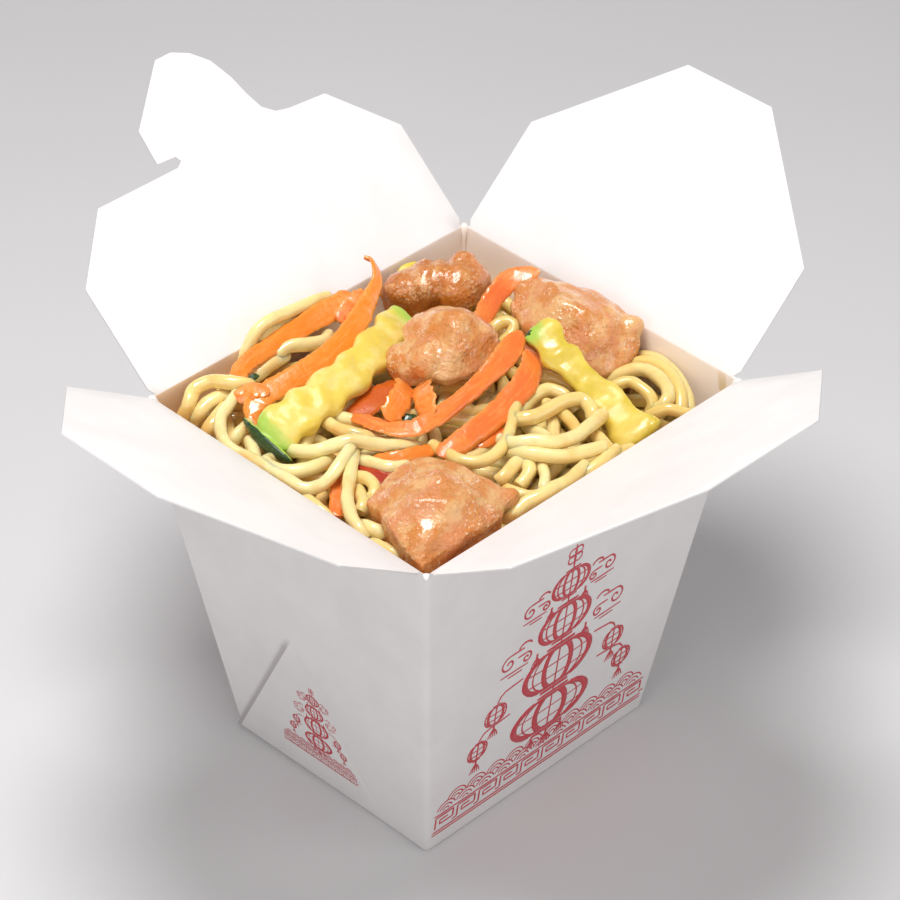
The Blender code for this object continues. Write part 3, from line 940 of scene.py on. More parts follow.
def key_band(left, right, low, high, unit):
    """A running square key between two rails."""
    drawn = []
    for z in (low, low + 0.14 * (high - low), high):
        drawn += line((left, z), (right, z), width=0.55)
    count = int((right - left) / unit)
    base, tall = low + 0.3 * (high - low), 0.58 * (high - low)
    for k in range(count):
        x = left + (right - left) * (k + 0.5) / count
        half = unit * 0.4
        corners = [(-half, 0), (-half, 1), (half, 1), (half, 0.3), (-0.2 * unit, 0.3), (-0.2 * unit, 0.66),
                   (0.16 * unit, 0.66)]
        for (xa, za), (xb, zb) in zip(corners, corners[1:]):
            drawn += line((x + xa, base + tall * za), (x + xb, base + tall * zb), width=0.62)
        drawn += line((x + half, base), (x + half + unit * 0.2, base), width=0.62)
    return drawn


def waves(left, right, z, size):
    """Overlapping scallops of three arcs each, in two rows."""
    drawn = []
    for row in range(2):
        count = int((right - left) / (2 * size)) - row
        for k in range(count):
            x = left + size * (1 + row) + 2 * size * k
            for shrink in (1.0, 0.66, 0.32):
                drawn += arc(x, z + row * size * 0.72, size * shrink, size * shrink, 20, 160, 0.42)
    return drawn


def lantern_figure():
    drawn = line((0, 80.5), (0, 73), width=0.6)
    for turn in (45, 135, 225, 315):
        a = math.radians(turn)
        drawn += arc(1.5 * math.cos(a), 77.2 + 1.5 * math.sin(a), 1.3, 1.3, 0, 360, 0.5)
    for z, width, height in ((68.2, 13, 7.6), (55.6, 18, 10), (40.6, 24, 12.4), (25.0, 27, 11.0)):
        drawn += lantern(0, z, width, height, 9) + line((0, z + height * 0.6), (0, z + height * 0.6 + 3.6))
    for side in (-1, 1):
        drawn += cloud(side * 13.5, 66.5, 2.3, side) + cloud(side * 18.5, 52.4, 2.7, side)
        for x, z, size in ((20.5, 36.6, 7.2), (25.2, 27.0, 6.4)):
            x *= side
            drawn += line((x, z + size * 0.55), (x * 0.93, z + size * 0.9), (x * 0.6, z + size))
            drawn += lantern(x, z, size, size * 0.8, 5) + tassel(x, z - size * 0.45, 4.4)
        for x, z, length in ((5.2, 18.4, 4.2), (8.4, 49.6, 4.4), (5.8, 63.4, 4.0)):
            drawn += tassel(side * x, z, length)
    drawn += tassel(0, 18.4, 5.2, 7)
    drawn += waves(-37, 36, 12.4, 3.3)
    return drawn + key_band(-37.5, 36.5, 5.2, 12.0, 7.4)


FIGURE = lantern_figure()
print("the figure has", len(FIGURE), "strokes")

# %% [markdown]
# ## Laying the print on the walls
#
# A Geometry Nodes tree sweeps a flat bar along every stroke, as wide as the stroke is bold. The flat
# result is then wrapped onto a wall by the same function that shaped it, a few hundredths of a
# millimetre proud, and over the web where there is one. Each stroke lies a hair higher than the one
# before, so that no two inked faces share a plane where they cross.

# %% The stroke tree
PRINT_LIFT = 0.02
PRINT_LAYER = 0.0012
PRINT_LAYERS = 12
PRINT_GRAIN = 2.4  # longest straight stretch of a stroke, so that it can bend over the wall


def build_stroke_tree():
    inputs = {"Geometry": "Geometry", "Strokes": "Object", "Bar thickness": 0.0, "Ink": "Material"}
    tree, given, out = new_group("ink strokes", inputs, ["Geometry"], "Geometry", "GeometryNodeTree")
    strokes = add(tree, "GeometryNodeObjectInfo", {"Object": given["Strokes"]}).outputs["Geometry"]
    flat = add(tree, "GeometryNodeSetCurveNormal", {"Curve": strokes}, mode="Z_UP")
    bar = add(tree, "GeometryNodeCurvePrimitiveQuadrilateral",
              {"Width": 2.0, "Height": given["Bar thickness"]}, mode="RECTANGLE")
    radius = add(tree, "GeometryNodeInputRadius")
    swept_bar = add(tree, "GeometryNodeCurveToMesh",
                    {"Curve": flat, "Profile Curve": bar, "Scale": radius, "Fill Caps": True})
    return finish_tree(tree, out, swept_bar, given["Ink"])


STROKE_TREE = build_stroke_tree()
INK_RED = (0.66, 0.065, 0.085)
INK_WORN = (0.78, 0.19, 0.21)


def build_ink():
    made, tree, shader, place = new_material("red_ink", Roughness=0.42, Specular_IOR_Level=0.4)
    worn = use_group(tree, PATCHES, {"Place": place, "Patch size": 0.0022, "From": 0.5, "To": 0.75})["Mask"]
    set_input(tree, shader, "Base Color", colour_mix(tree, times(tree, worn, 0.35), INK_RED, INK_WORN))
    grain = use_group(tree, PAPER_GRAIN, {"Place": place, "Fibre length": 0.0011})
    board_bump(tree, shader, grain["Height"])
    return made


INK = build_ink()


def curve_of(strands, end_share):
    """A poly curve in metres from (points in mm, radius in mm), drawn in at its ends."""
    data = bpy.data.curves.new("paths", "CURVE")
    data.dimensions = "3D"
    for path, radius in strands:
        spline = data.splines.new("POLY")
        spline.points.add(len(path) - 1)
        places = np.column_stack([path * MM, np.ones(len(path))])
        spline.points.foreach_set("co", places.astype(np.float32).ravel())
        radii = np.full(len(path), radius * MM)
        radii[[0, -1]] *= end_share
        spline.points.foreach_set("radius", radii.astype(np.float32))
    return into_scene("paths", data)


def mesh_from_tree(tree, values):
    """Runs a Geometry Nodes tree with its inputs set by name, and returns its plain mesh."""
    host = into_scene("host", bpy.data.meshes.new("host"))
    modifier = host.modifiers.new("tree", "NODES")
    modifier.node_group = tree
    for item in tree.interface.items_tree:
        if item.item_type == "SOCKET" and item.in_out == "INPUT" and item.name in values:
            modifier[item.identifier] = values[item.name]
    return apply_modifiers(host)


def even_path(path, spacing):
    """The same path with its points an even distance apart."""
    steps = np.linalg.norm(np.diff(path[:, :3], axis=0), axis=1)
    lengths = np.concatenate([[0], np.cumsum(steps)])
    places = np.linspace(0, lengths[-1], max(int(math.ceil(lengths[-1] / spacing)), 1) + 1)
    return np.stack([np.interp(places, lengths, path[:, k]) for k in range(path.shape[1])], axis=1)


# %% Print on each wall
PRINTS = {
    # wall: (scale, how far the figure's middle is right of the wall's, how far it's raised)
    "front": (1.0, 0.0, 0.0), "back": (1.0, 0.0, 0.0),
    "left": (0.345, -1.6, 6.2), "right": (0.345, -1.6, 6.2),
}


def make_print(wall):
    scale, shift, rise = PRINTS[wall]
    strokes = []
    for k, (points, width) in enumerate(FIGURE):
        flat = np.array([(x * scale + shift, z * scale + rise, 0.0) for x, z in points])
        flat[:, 2] = PRINT_LIFT + PRINT_LAYER * (k % PRINT_LAYERS)
        if len(points) < 5:
            flat = even_path(flat, PRINT_GRAIN)
        strokes.append((flat, width * scale / 2))
    paths = curve_of(strokes, 0.8)
    mesh = mesh_from_tree(STROKE_TREE, {"Strokes": paths, "Bar thickness": 0.08 / scale, "Ink": INK})
    bpy.data.objects.remove(paths)
    points = vertex_points(mesh)
    for k, (x, z, height) in enumerate(points):
        over = web_height(-x, z) if wall in ("left", "right") and in_web(-x, z) else 0.0
        points[k] = wall_point(WALLS[wall], x, z, height + over)
    set_points(mesh, points)
    keep_piece("print_" + wall, mesh, INK, "box", "board")
    print("print on the", wall, "wall:", len(mesh.polygons), "faces, bars",
          round(float(np.ptp(points[:, 2])), 1), "mm tall")


for wall_name in PRINTS:
    make_print(wall_name)

# %% [markdown]
# ## Wet food
#
# All the toppings share one kind of surface: soft, a little see-through, and coated in a film of sauce. So
# one function gives a finish its film. It sets how rough and how thick the film is, from where it's dry to
# where it has pooled, and lets its wrinkles break up the highlights. Another lays patchy colours on a base.

# %% Shared parts of the wet finishes
def patchy(tree, place, size, span, share, shift=0.0, detail=3.0):
    """A soft patch mask of a given size in mm, moved by shift, whose strongest value is share."""
    moved = add(tree, "ShaderNodeVectorMath", {0: place, 1: (shift, shift * 0.6, shift * 0.3)})
    inputs = {"Place": moved, "Patch size": size * MM, "From": span[0], "To": span[1], "Detail": detail}
    return times(tree, use_group(tree, PATCHES, inputs)["Mask"], share)


def layered(tree, place, colour, *layers):
    """Lays patches over a base colour, each (its colour, then what patchy takes)."""
    for over, *patch in layers:
        colour = colour_mix(tree, patchy(tree, place, *patch), colour, over)
    return colour


def wet_film(tree, shader, place, wrinkle, beads, rough, coat, bump):
    """Gives a finish its film. rough and coat run from dry to pooled, bump is (depth in mm, strength)."""
    film = use_group(tree, WET_FILM, {"Place": place, "Wrinkle size": wrinkle * MM, "Beads": beads})
    set_input(tree, shader, "Roughness", ranged(tree, film["Pooled"], 0, 1, *rough))
    set_input(tree, shader, "Coat Weight", ranged(tree, film["Pooled"], 0, 1, *coat))
    depth, strength = bump
    board_bump(tree, shader, film["Height"], depth * MM, strength)


def soft_finish(name, weight, radius, scale, coat_rough=0.09):
    """A material for soft food, whose light scatters over scale mm."""
    return new_material(name, Specular_IOR_Level=0.5, Subsurface_Weight=weight, Subsurface_Radius=radius,
                        Subsurface_Scale=scale * MM, Coat_Roughness=coat_rough)


# %% [markdown]
# ## Chicken
#
# The chicken is in torn, pan-fried lumps: soft pillows with a few flat cut sides, a ledge or a knob where
# the meat tore, and short fibres that catch the light. A carver would block out the flat sides first and
# then soften them. The same is done here: each lump is the hull round a few listed corners, joined
# with small lobes, remeshed into one skin and smoothed. Several sizes of noise then work the skin, the
# finest only where the meat tore.

# %% Chicken shapes
CHICKEN_VOXEL = 0.45
CHICKEN_LUMPS = {
    # name: (corners of the upper side, how low it reaches, lobes as (centre, half sizes), smoothing rounds,
    #        direction of the grain, how browned)
    "chicken_front": (
        ((-43, -17.2, 102), (-37, -16.2, 104.5), (-31.7, -16.4, 106), (-26.6, -17.8, 107),
         (-23.6, -25, 107.6), (-21.4, -33, 106.4), (-18.6, -38, 103.6), (-32.6, -30, 110.4),
         (-35.4, -37.2, 109.8), (-41, -31.6, 109.6), (-47.4, -29, 104.6), (-49, -34.5, 102.2),
         (-49.4, -41.6, 100), (-36, -42.6, 103), (-24, -42.4, 101)),
        86, (((-18.6, -38.6, 101.6), (3.4, 2.4, 2.6)),), 26, (0.8, 0.5, 0.2), 0.10),
    "chicken_centre": (
        ((4.6, 20.2, 107), (9.6, 20.4, 108.5), (15, 17.2, 110), (18.4, 13.4, 110.4), (20, 8.2, 110),
         (19.6, 2.6, 108), (18, -1, 106), (14.6, -2.2, 105), (9.6, -2.2, 104.2), (4.8, -1.4, 104),
         (0.4, 0.8, 104), (-1.4, 4.6, 104), (-0.6, 9.6, 105), (1.6, 14.8, 107), (9, 11.5, 115),
         (12.6, 6, 115), (7.5, 4.5, 113)),
        101.5, (((-0.2, 13, 103), (5.4, 6.4, 4.5)), ((1.6, 8.6, 105), (5, 5.4, 4.8))), 34,
        (0.4, 0.9, 0.1), 0.06),
    "chicken_right": (
        ((33, 12, 104.5), (39.4, 14, 105.6), (43.8, 11.8, 106.6), (47.4, 6, 107.4), (49.4, -1.5, 107.6),
         (50, -8.4, 107), (49.8, -13.6, 105), (48.4, -18.6, 101), (42, -20, 98.4), (35, -18.6, 98),
         (30, -14, 100.5), (28.6, -6.4, 104), (28.6, 3, 105), (35.6, -2, 112), (38.4, -10, 111.4),
         (40.5, 5, 111)),
        92, (((48.4, -14.6, 104), (3.2, 3.2, 2.8)), ((40, 10.4, 105.6), (4.6, 4.2, 3.4))), 40,
        (0.2, 1.0, 0.0), 0.12),
    "chicken_back": (
        ((18.4, 41.4, 99.6), (22, 42, 102), (26.4, 41, 103.8), (31.4, 37.2, 104.6), (34.6, 32.6, 104.6),
         (29, 29, 101), (22.4, 31, 98.6), (19, 35.4, 97.6), (24, 36, 105)),
        90, (((33.6, 28, 101.4), (8.2, 6.6, 6.4)), ((36.6, 30.8, 105.6), (3.6, 3.4, 3.4)),
             ((23.6, 37, 101.2), (6.2, 5.6, 4.6)),
             ((28.6, 33.6, 102.6), (7.4, 6.2, 5.2))), 12, (0.7, -0.6, 0.2), 0.9),
}
# Clefts where two lobes meet: (point, direction across, depth, half width).
CLEFTS = {"chicken_back": ((27.8, 31.8, 103), (0.75, -0.66, 0.1), 0.7, 1.3)}
# Each size of the skin's unevenness: (wavelength, height, stretch along the grain).
SKIN_NOISE = ((9.0, 0.7, 1.0), (4.4, 0.26, 1.3), (1.9, 0.24, 2.8), (0.95, 0.1, 2.2))
BROWNED_SKIN = {"chicken_back": 1.7}  # the browned lump is the most wrinkled
# painted shade: how far each lump darkens towards its low side, through its browned value
PAINTED_LOW_SHADE = {"chicken_front": 0.4, "chicken_centre": 0.4, "chicken_right": 0.3, "chicken_back": 0.6}


def noise_of(points, wavelength, seed):
    """Smooth noise from -1 to 1 at each point, whose waves are about wavelength long."""
    shift = Vector((seed * 7.1, seed * 3.3, seed * 5.7))
    return np.array([noise.noise(Vector(p) / wavelength * 1.6 + shift) for p in points])


def set_value(mesh, name, values):
    """Stores a value from 0 to 1 for each vertex, or one for all of them."""
    made = mesh.attributes.new(name, "FLOAT", "POINT")
    values = np.clip(np.broadcast_to(values, len(mesh.vertices)), 0, 1)
    made.data.foreach_set("value", values.astype(np.float32))


def add_lobe(bm, centre, sizes):
    matrix = Matrix.Translation(centre) @ Matrix.Diagonal((*sizes, 1))
    bmesh.ops.create_icosphere(bm, subdivisions=3, radius=1, matrix=matrix)


def add_hull(bm, corners, floor):
    """The convex hull of some corners and of the same corners let down to floor and drawn in."""
    middle = sum((Vector(p) for p in corners), Vector()) / len(corners)
    low = [Vector((middle.x + (x - middle.x) * 0.84, middle.y + (y - middle.y) * 0.84, floor))
           for x, y, _ in corners]
    verts = [bm.verts.new(p) for p in (*corners, *low)]
    bmesh.ops.convex_hull(bm, input=verts)
    loose = [v for v in verts if not v.link_faces]
    bmesh.ops.delete(bm, geom=loose, context="VERTS")


def remeshed(bm, voxel, rounds):
    """One even skin over a bmesh's overlapping lumps, smoothed a few times."""
    return modified(mesh_from(bm), ("REMESH", {"mode": "VOXEL", "voxel_size": voxel * MM}),
                    ("SMOOTH", {"iterations": rounds, "factor": 0.5}))


def smooth_array(low, high, values):
    share = np.clip((values - low) / (high - low), 0, 1)
    return share * share * (3 - 2 * share)


def work_the_skin(mesh, name, grain, browned):
    grain = np.array(Vector(grain).normalized())
    points = vertex_points(mesh)
    seed = len(name) + points[0][0] * 0.01
    rough = smooth_array(-0.1, 0.4, noise_of(points, 8.0, seed + 9))
    push = np.zeros(len(points))
    for k, (wavelength, height, stretch) in enumerate(SKIN_NOISE):
        along = points @ grain
        drawn = points - np.outer(along * (1 - 1 / stretch), grain)
        wave = noise_of(drawn, wavelength, seed + k)
        if k >= 2:
            wave = (0.4 - np.abs(wave)) * (0.05 + 0.95 * rough) * BROWNED_SKIN.get(name, 1.0)
        push += height * wave
    if name in CLEFTS:
        place, across, depth, half = CLEFTS[name]
        away = (points - np.array(place)) @ np.array(Vector(across).normalized())
        away += 0.9 * noise_of(points, 5.0, seed + 20)
        push -= depth * np.exp(-(away / half) ** 2)
    points = push_out(mesh, push)
    # painted shade: below about 104 mm the lump is browned more, which darkens its low side
    level = points[:, 2] + 2.5 * noise_of(points, 6.0, seed + 30)
    under = 1 - smooth_array(97, 104, level)
    patches = smooth_array(0.1, 0.55, noise_of(points, 8.0, seed + 40) + 0.3 * noise_of(points, 2.5, seed))
    raised = smooth_array(0.2, 0.9, push)
    browned *= 0.55 + 0.6 * patches
    set_value(mesh, "browned", browned + PAINTED_LOW_SHADE[name] * under + 0.15 * raised * patches)
    set_value(mesh, "torn", rough)


def make_chicken(name, finish):
    corners, floor, lobes, rounds, grain, browned = CHICKEN_LUMPS[name]
    bm = bmesh.new()
    add_hull(bm, corners, floor)
    for centre, sizes in lobes:
        add_lobe(bm, centre, sizes)
    mesh = remeshed(bm, CHICKEN_VOXEL, rounds)
    work_the_skin(mesh, name, grain, browned)
    mesh.shade_smooth()
    keep_piece(name + "_torn", mesh, finish, "box", "chicken", name)
    low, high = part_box(name)
    print(name, len(mesh.polygons), "faces over a lump of",
          [round((b - a) / MM, 1) for a, b in zip(low, high)], "mm")


# %% Chicken finish
CHICKEN_GOLD = (0.68, 0.26, 0.065)
CHICKEN_CREAM = (0.80, 0.47, 0.20)
CHICKEN_PINK = (0.72, 0.28, 0.13)
CHICKEN_BROWN = (0.54, 0.155, 0.012)
CHICKEN_GLAZE = (0.69, 0.225, 0.03)
# pale flecks where the meat tore: partly fat, partly painted glints
CHICKEN_FAT_AND_GLINT = (0.92, 0.70, 0.50)
PEPPER = (0.06, 0.03, 0.015)


def build_chicken_finish():
    made, tree, shader, place = soft_finish("fried_chicken", 0.3, (1.0, 0.5, 0.28), 1.3)
    colour = layered(tree, place, CHICKEN_GOLD, (CHICKEN_CREAM, 6.2, (0.42, 0.6), 0.85),
                     (CHICKEN_PINK, 8.0, (0.5, 0.62), 0.55, 0.3),
                     (CHICKEN_GLAZE, 5.5, (0.55, 0.68), 0.6, 0.7))
    fine = math_node(tree, "SUBTRACT", noise_value(tree, place, 900.0, 3.0), 0.5)
    # the browned value holds real browning and also the painted shade on the low sides
    edge = math_node(tree, "ADD", attribute(tree, "browned"), fine)
    colour = colour_mix(tree, ranged(tree, edge, 0.15, 0.85), colour, CHICKEN_BROWN)
    # fine pale flecks on torn skin, partly fat and partly painted glints
    fat_and_glint_flecks = patchy(tree, place, 0.62, (0.55, 0.66), 0.75, 0.1, 2.0)
    torn = ranged(tree, attribute(tree, "torn"), 0.25, 0.9)
    colour = colour_mix(tree, times(tree, fat_and_glint_flecks, torn), colour, CHICKEN_FAT_AND_GLINT)
    colour = layered(tree, place, colour, (PEPPER, 0.5, (0.73, 0.76), 0.85, 0.5, 1.0))
    set_input(tree, shader, "Base Color", colour)
    wet_film(tree, shader, place, 0.9, 0.4, (0.42, 0.2), (0.4, 0.9), (0.45, 0.7))
    return made


CHICKEN_FINISH = build_chicken_finish()
for chicken_name in CHICKEN_LUMPS:
    make_chicken(chicken_name, CHICKEN_FINISH)

# %% [markdown]
# ## Carrot
#
# The carrot is shaved into ribbons with a peeler and softened in the pan: they bend without breaking, lean
# on what they lie on, and their ends are torn. A ribbon is best drawn as what it is, a path with a width.
# Each has listed points; between them it's swept as a thin, slightly cupped section whose two long
# edges are nicked by noise. A place on the ribbon, along and across, goes with every vertex, so that the
# shader can draw the fibres lengthwise however the ribbon bends.

# %% Ribbons
RIBBON_STEP = 0.5
RIBBON_SIDE = 9  # points across one face
RIBBON_THICK = 0.85
TOWARDS_FRONT_LEFT = Vector((-0.7, -0.7, 0))
CARROTS = {
    # name: (raggedness, salmon, deep as painted shade, points (x, y, z, width, lean in degrees, how
    # wrinkled))
    "carrot_long_outer": (0.25, 0.1, 0, (
        (-33.4, 29.0, 99.8, 4.2, -30, 0.8), (-34.2, 33.4, 101.4, 4.4, -34, 0.3),
        (-32.6, 37.2, 102.4, 4.6, -22, 0), (-28.4, 39.4, 103, 4.6, 20, 0), (-19.1, 39.9, 103.8, 5, 30, 0),
        (-7.1, 39.8, 104.8, 5.6, 30, 0.1), (-1.4, 39.4, 105.2, 6.4, 28, 0.7), (3, 39.4, 105.4, 6.8, 26, 1),
        (8, 40, 105, 5.2, 26, 0.6))),
    "carrot_long_inner": (0.25, 0.0, 0, (
        (-37.6, 22.6, 98.2, 5, 0, 0.4), (-37.4, 25.8, 100.8, 5.4, -10, 0.8),
        (-35.4, 27.4, 102.6, 5.8, 10, 0.9), (-31, 27.2, 103.4, 6, 30, 0.2),
        (-22, 25.9, 104.4, 6.4, 32, 0), (-14.2, 26.2, 105, 6.2, 32, 0), (-6.8, 27.4, 105.8, 6, 32, 0),
        (0, 29.9, 106.8, 5.6, 34, 0.4), (6.7, 33, 108, 4.8, 40, 0.8), (11.1, 35.2, 109.4, 3.6, 48, 0.5),
        (13.2, 37.2, 111.2, 2.8, 55, 0), (13.8, 39.6, 113, 2.3, 60, 0), (12.6, 41, 113.8, 1.8, 60, 0))),
    "carrot_bend_back": (0.3, 0.9, 0, (
        (21, 10.4, 103.2, 5, 30, 0), (27.6, 13.6, 105, 5.2, 34, 0), (33, 15.2, 106.6, 5.4, 38, 0),
        (37.6, 15.2, 108, 5.6, 34, 0.1), (41.2, 13.2, 109, 4.8, 22, 0.4), (43.6, 11.6, 109.2, 3, 12, 0.4))),
    "carrot_arc_upper": (0.22, 0.7, 0, (
        (21.3, -2.9, 110, 2.6, 34, 0), (19.6, -4, 109.4, 4.6, 34, 0), (16.2, -5.2, 108.6, 6, 34, 0.1),
        (11.4, -6.3, 107.6, 5.8, 34, 0.1), (6, -7, 106.6, 4.8, 34, 0), (-0.1, -7.8, 105.6, 4.4, 32, 0),
        (-6.9, -8, 104.8, 4.4, 30, 0), (-12.7, -7.9, 104.2, 4.6, 26, 0.1),
        (-18.2, -6.3, 103.6, 4.8, 20, 0.3), (-20.9, -2.6, 103.2, 4.6, 12, 0.3),
        (-22.4, 3.2, 102.8, 4.2, 6, 0.2), (-22.8, 8.4, 101.8, 3.4, 6, 0))),
    "carrot_arc_lower": (0.25, 0.8, 0, (
        (22, -4.6, 106, 4.4, 26, 0), (20.4, -8, 105.8, 5.6, 28, 0), (17.4, -11, 105, 6.2, 32, 0.1),
        (12.6, -13.2, 104.2, 6.4, 34, 0), (6.4, -14.8, 103.6, 6.2, 34, 0), (-0.6, -16.2, 103.2, 6, 34, 0),
        (-7.7, -16.9, 103, 5.8, 32, 0.1), (-14, -16.8, 102.4, 5.4, 26, 0.3),
        (-18.6, -15.6, 101.4, 4.4, 20, 0.3))),
    "carrot_curl_right": (0.8, 0.4, 0, (
        (-3.6, 4.8, 103, 5.4, 40, 0), (-6.2, 2.2, 104.9, 5.8, 40, 0.4), (-9, -1.4, 105.7, 5.8, 40, 0.7),
        (-11.4, -4.6, 105, 5.4, 40, 0.6), (-12.8, -7.2, 103.2, 5, 40, 0.3))),
    "carrot_curl_left": (1.1, 0.3, 0, (
        (-6, 7.6, 102.6, 4.6, 42, 0), (-8.8, 4.9, 104.8, 5.6, 42, 0.3), (-13, 1.8, 105.8, 6, 42, 0.4),
        (-17, 0, 105.4, 5.8, 42, 0.3), (-20, -0.6, 103.8, 5, 42, 0))),
    "carrot_short": (0.3, 0.1, 0.6, (
        (-22, 10.2, 99.2, 5.4, 12, 0), (-15.7, 10.5, 100.4, 6.4, 12, 0), (-9.3, 10.9, 100.4, 6.6, 12, 0),
        (-2.6, 10.6, 100, 6, 12, 0))),
    "carrot_front": (0.3, 0.6, 0.1, (
        (-34.5, -1, 98, 5.4, 10, 0), (-41, -7, 97.8, 5.6, 10, 0.3), (-47, -12.4, 96.8, 5, 10, 0.3))),
    "carrot_under": (0.4, 0, 1.0, (
        (-34, -3, 98, 6.4, 6, 0), (-31.5, -8, 98.8, 8, 6, 0), (-29.5, -13, 98.4, 8, 6, 0))),
}
# Smaller shavings that have no solid of their own in the CAD model.
SHAVINGS = {
    "carrot_crumple": (0.5, 0.3, 0, (
        (-38, 30.6, 101.4, 4.2, 20, 1), (-35.8, 30.8, 103.2, 5, 20, 1), (-33.6, 29, 103.8, 5, 20, 1),
        (-32.6, 26.4, 103.4, 4, 20, 1))),
    "carrot_pale_curl": (0.6, 0.8, 0, (
        (-1.6, 34.4, 104.6, 5, 35, 0.8), (2.4, 35.2, 106, 6, 35, 1), (6.2, 35.8, 106.8, 5.6, 35, 1),
        (10.2, 36.8, 106.4, 4, 35, 0.8))),
    "carrot_bit_right": (0.4, 0.3, 0.15, (
        (-9.3, -17.4, 99.8, 3.4, 20, 0), (-5.6, -18.8, 100.4, 4, 20, 0), (0.6, -18.4, 100.2, 3.6, 20, 0))),
    "carrot_bit_left": (0.4, 0.1, 0.1, (
        (-29.2, -4.6, 99.4, 3.4, 30, 0), (-26, -8.6, 100.2, 4, 30, 0), (-21.5, -10.9, 100.4, 4, 30, 0),
        (-16, -12, 99.8, 3.4, 30, 0))),
}


def smooth_path(points, steps=8):
    """Catmull-Rom curve through points, as an array. Further columns beside x, y and z go with it."""
    guide = np.array([2 * np.array(points[0]) - points[1], *points, 2 * np.array(points[-1]) - points[-2]])
    path = []
    for p0, p1, p2, p3 in zip(guide, guide[1:], guide[2:], guide[3:]):
        for step in range(steps):
            t = step / steps
            path.append(0.5 * (2 * p1 + (p2 - p0) * t + (2 * p0 - 5 * p1 + 4 * p2 - p3) * t ** 2
                               + (3 * p1 - p0 - 3 * p2 + p3) * t ** 3))
    path.append(guide[-2])
    return np.array(path)


def path_frame(place, lean):
    """The directions across and out of a ribbon at each point of its path, leaning towards the front left."""
    along = np.gradient(place, axis=0)
    along /= np.linalg.norm(along, axis=1, keepdims=True)
    side = np.cross(along, np.array(UP))
    side /= np.maximum(np.linalg.norm(side, axis=1, keepdims=True), 0.2)
    if side.mean(axis=0) @ np.array(TOWARDS_FRONT_LEFT) < 0:
        side = -side
    out = np.cross(side, along)
    out *= np.sign(out[:, 2:].mean())
    turn = np.radians(lean)[:, None]
    out = out * np.cos(turn) + side * np.sin(turn)
    across = np.cross(along, out)
    return across / np.linalg.norm(across, axis=1, keepdims=True), out


def tube_mesh(rings):
    """A closed mesh through rings of points in mm, given as the rings' corners one after another."""
    return mesh_from(swept(bmesh.new(), np.stack(rings, axis=1)), 55)


def line_noise(length, wavelength, seed):
    """Smooth noise along a line, one value for each place in length."""
    return np.array([noise.noise(Vector((s / wavelength * 1.6, seed * 3.7, 1.5))) for s in length])


def ribbon_mesh(ragged, salmon, deep, rows, seed):
    path = even_path(smooth_path(rows), RIBBON_STEP)
    place, width, wrinkled = path[:, :3], path[:, 3], np.clip(path[:, 5], 0, 1)
    across, out = path_frame(place, path[:, 4])
    length = np.arange(len(path)) * RIBBON_STEP
    from_end = np.minimum(length, length[-1] - length) + 0.5 * np.abs(line_noise(length, 1.0, seed + 4))
    width = width * np.sqrt(np.clip(1 - (1 - np.clip(from_end / 2.4, 0, 1)) ** 2, 0.06, 1))
    nicks = [ragged * (line_noise(length, 1.7, seed + k) + 0.6 * line_noise(length, 0.8, seed + k + 0.5))
             for k in (1, 2)]
    twist = 0.5 * line_noise(length, 9.0, seed + 6)
    cup = 0.55 * line_noise(length, 12.0, seed + 7) - 0.25
    fold = wrinkled * (0.75 * line_noise(length, 2.6, seed + 8) + 0.35 * line_noise(length, 1.2, seed + 9))
    share = np.sin(np.linspace(-math.pi / 2, math.pi / 2, RIBBON_SIDE))
    around = [(u, 1) for u in share] + [(u, -1) for u in share[-2:0:-1]]
    rings, streak, edge = [], [], []
    for u, face in around:
        nick = nicks[0 if u < 0 else 1] * abs(u) ** 3
        spread = u * width / 2 + np.sign(u) * nick
        thick = face * RIBBON_THICK / 2 * math.sqrt(max(1 - abs(u) ** 8, 0.0)) if abs(u) < 0.999 else 0.0
        rise = thick + twist * u + cup * u * u * width / 5 + fold * (0.5 + 0.5 * u * math.sin(seed + 3 * u))
        rings.append(place + across * spread[:, None] + out * rise[:, None])
        streak.append(np.column_stack([length * MM, spread * MM, np.full(len(path), seed * 0.1 + face)]))
        edge.append(np.full(len(path), abs(u) ** 4))
    mesh = tube_mesh(rings)
    made = mesh.attributes.new("ribbon_place", "FLOAT_VECTOR", "POINT")
    made.data.foreach_set("vector", np.stack(streak, axis=1).astype(np.float32).ravel())
    set_value(mesh, "edge", np.stack(edge, axis=1).ravel())
    wrinkled = np.repeat(wrinkled, len(around))
    for label, values in (("wrinkled", wrinkled), ("deep", deep), ("salmon", salmon)):
        set_value(mesh, label, values)
    points = vertex_points(mesh)
    push_out(mesh, 0.07 * noise_of(points, 1.6, seed) + 0.16 * wrinkled * noise_of(points, 1.1, seed + 1))
    return mesh


def make_carrots(finish):
    for number, (name, row) in enumerate([*CARROTS.items(), *SHAVINGS.items()]):
        mesh = ribbon_mesh(*row, seed=number + 3)
        stands_for = (name,) if name in CARROTS else ()
        keep_piece(name + "_shaved", mesh, finish, "box", "carrot", *stands_for)
        print(name, len(mesh.polygons), "faces")


# %% Carrot finish
CARROT_ORANGE = (0.92, 0.25, 0.008)
CARROT_PALE = (0.94, 0.36, 0.06)
CARROT_SALMON = (0.88, 0.17, 0.042)
# painted shade for carrot that lies behind or under other pieces
CARROT_PAINTED_SHADE = (0.45, 0.035, 0.008)
CARROT_GLAZED = (0.95, 0.42, 0.12)


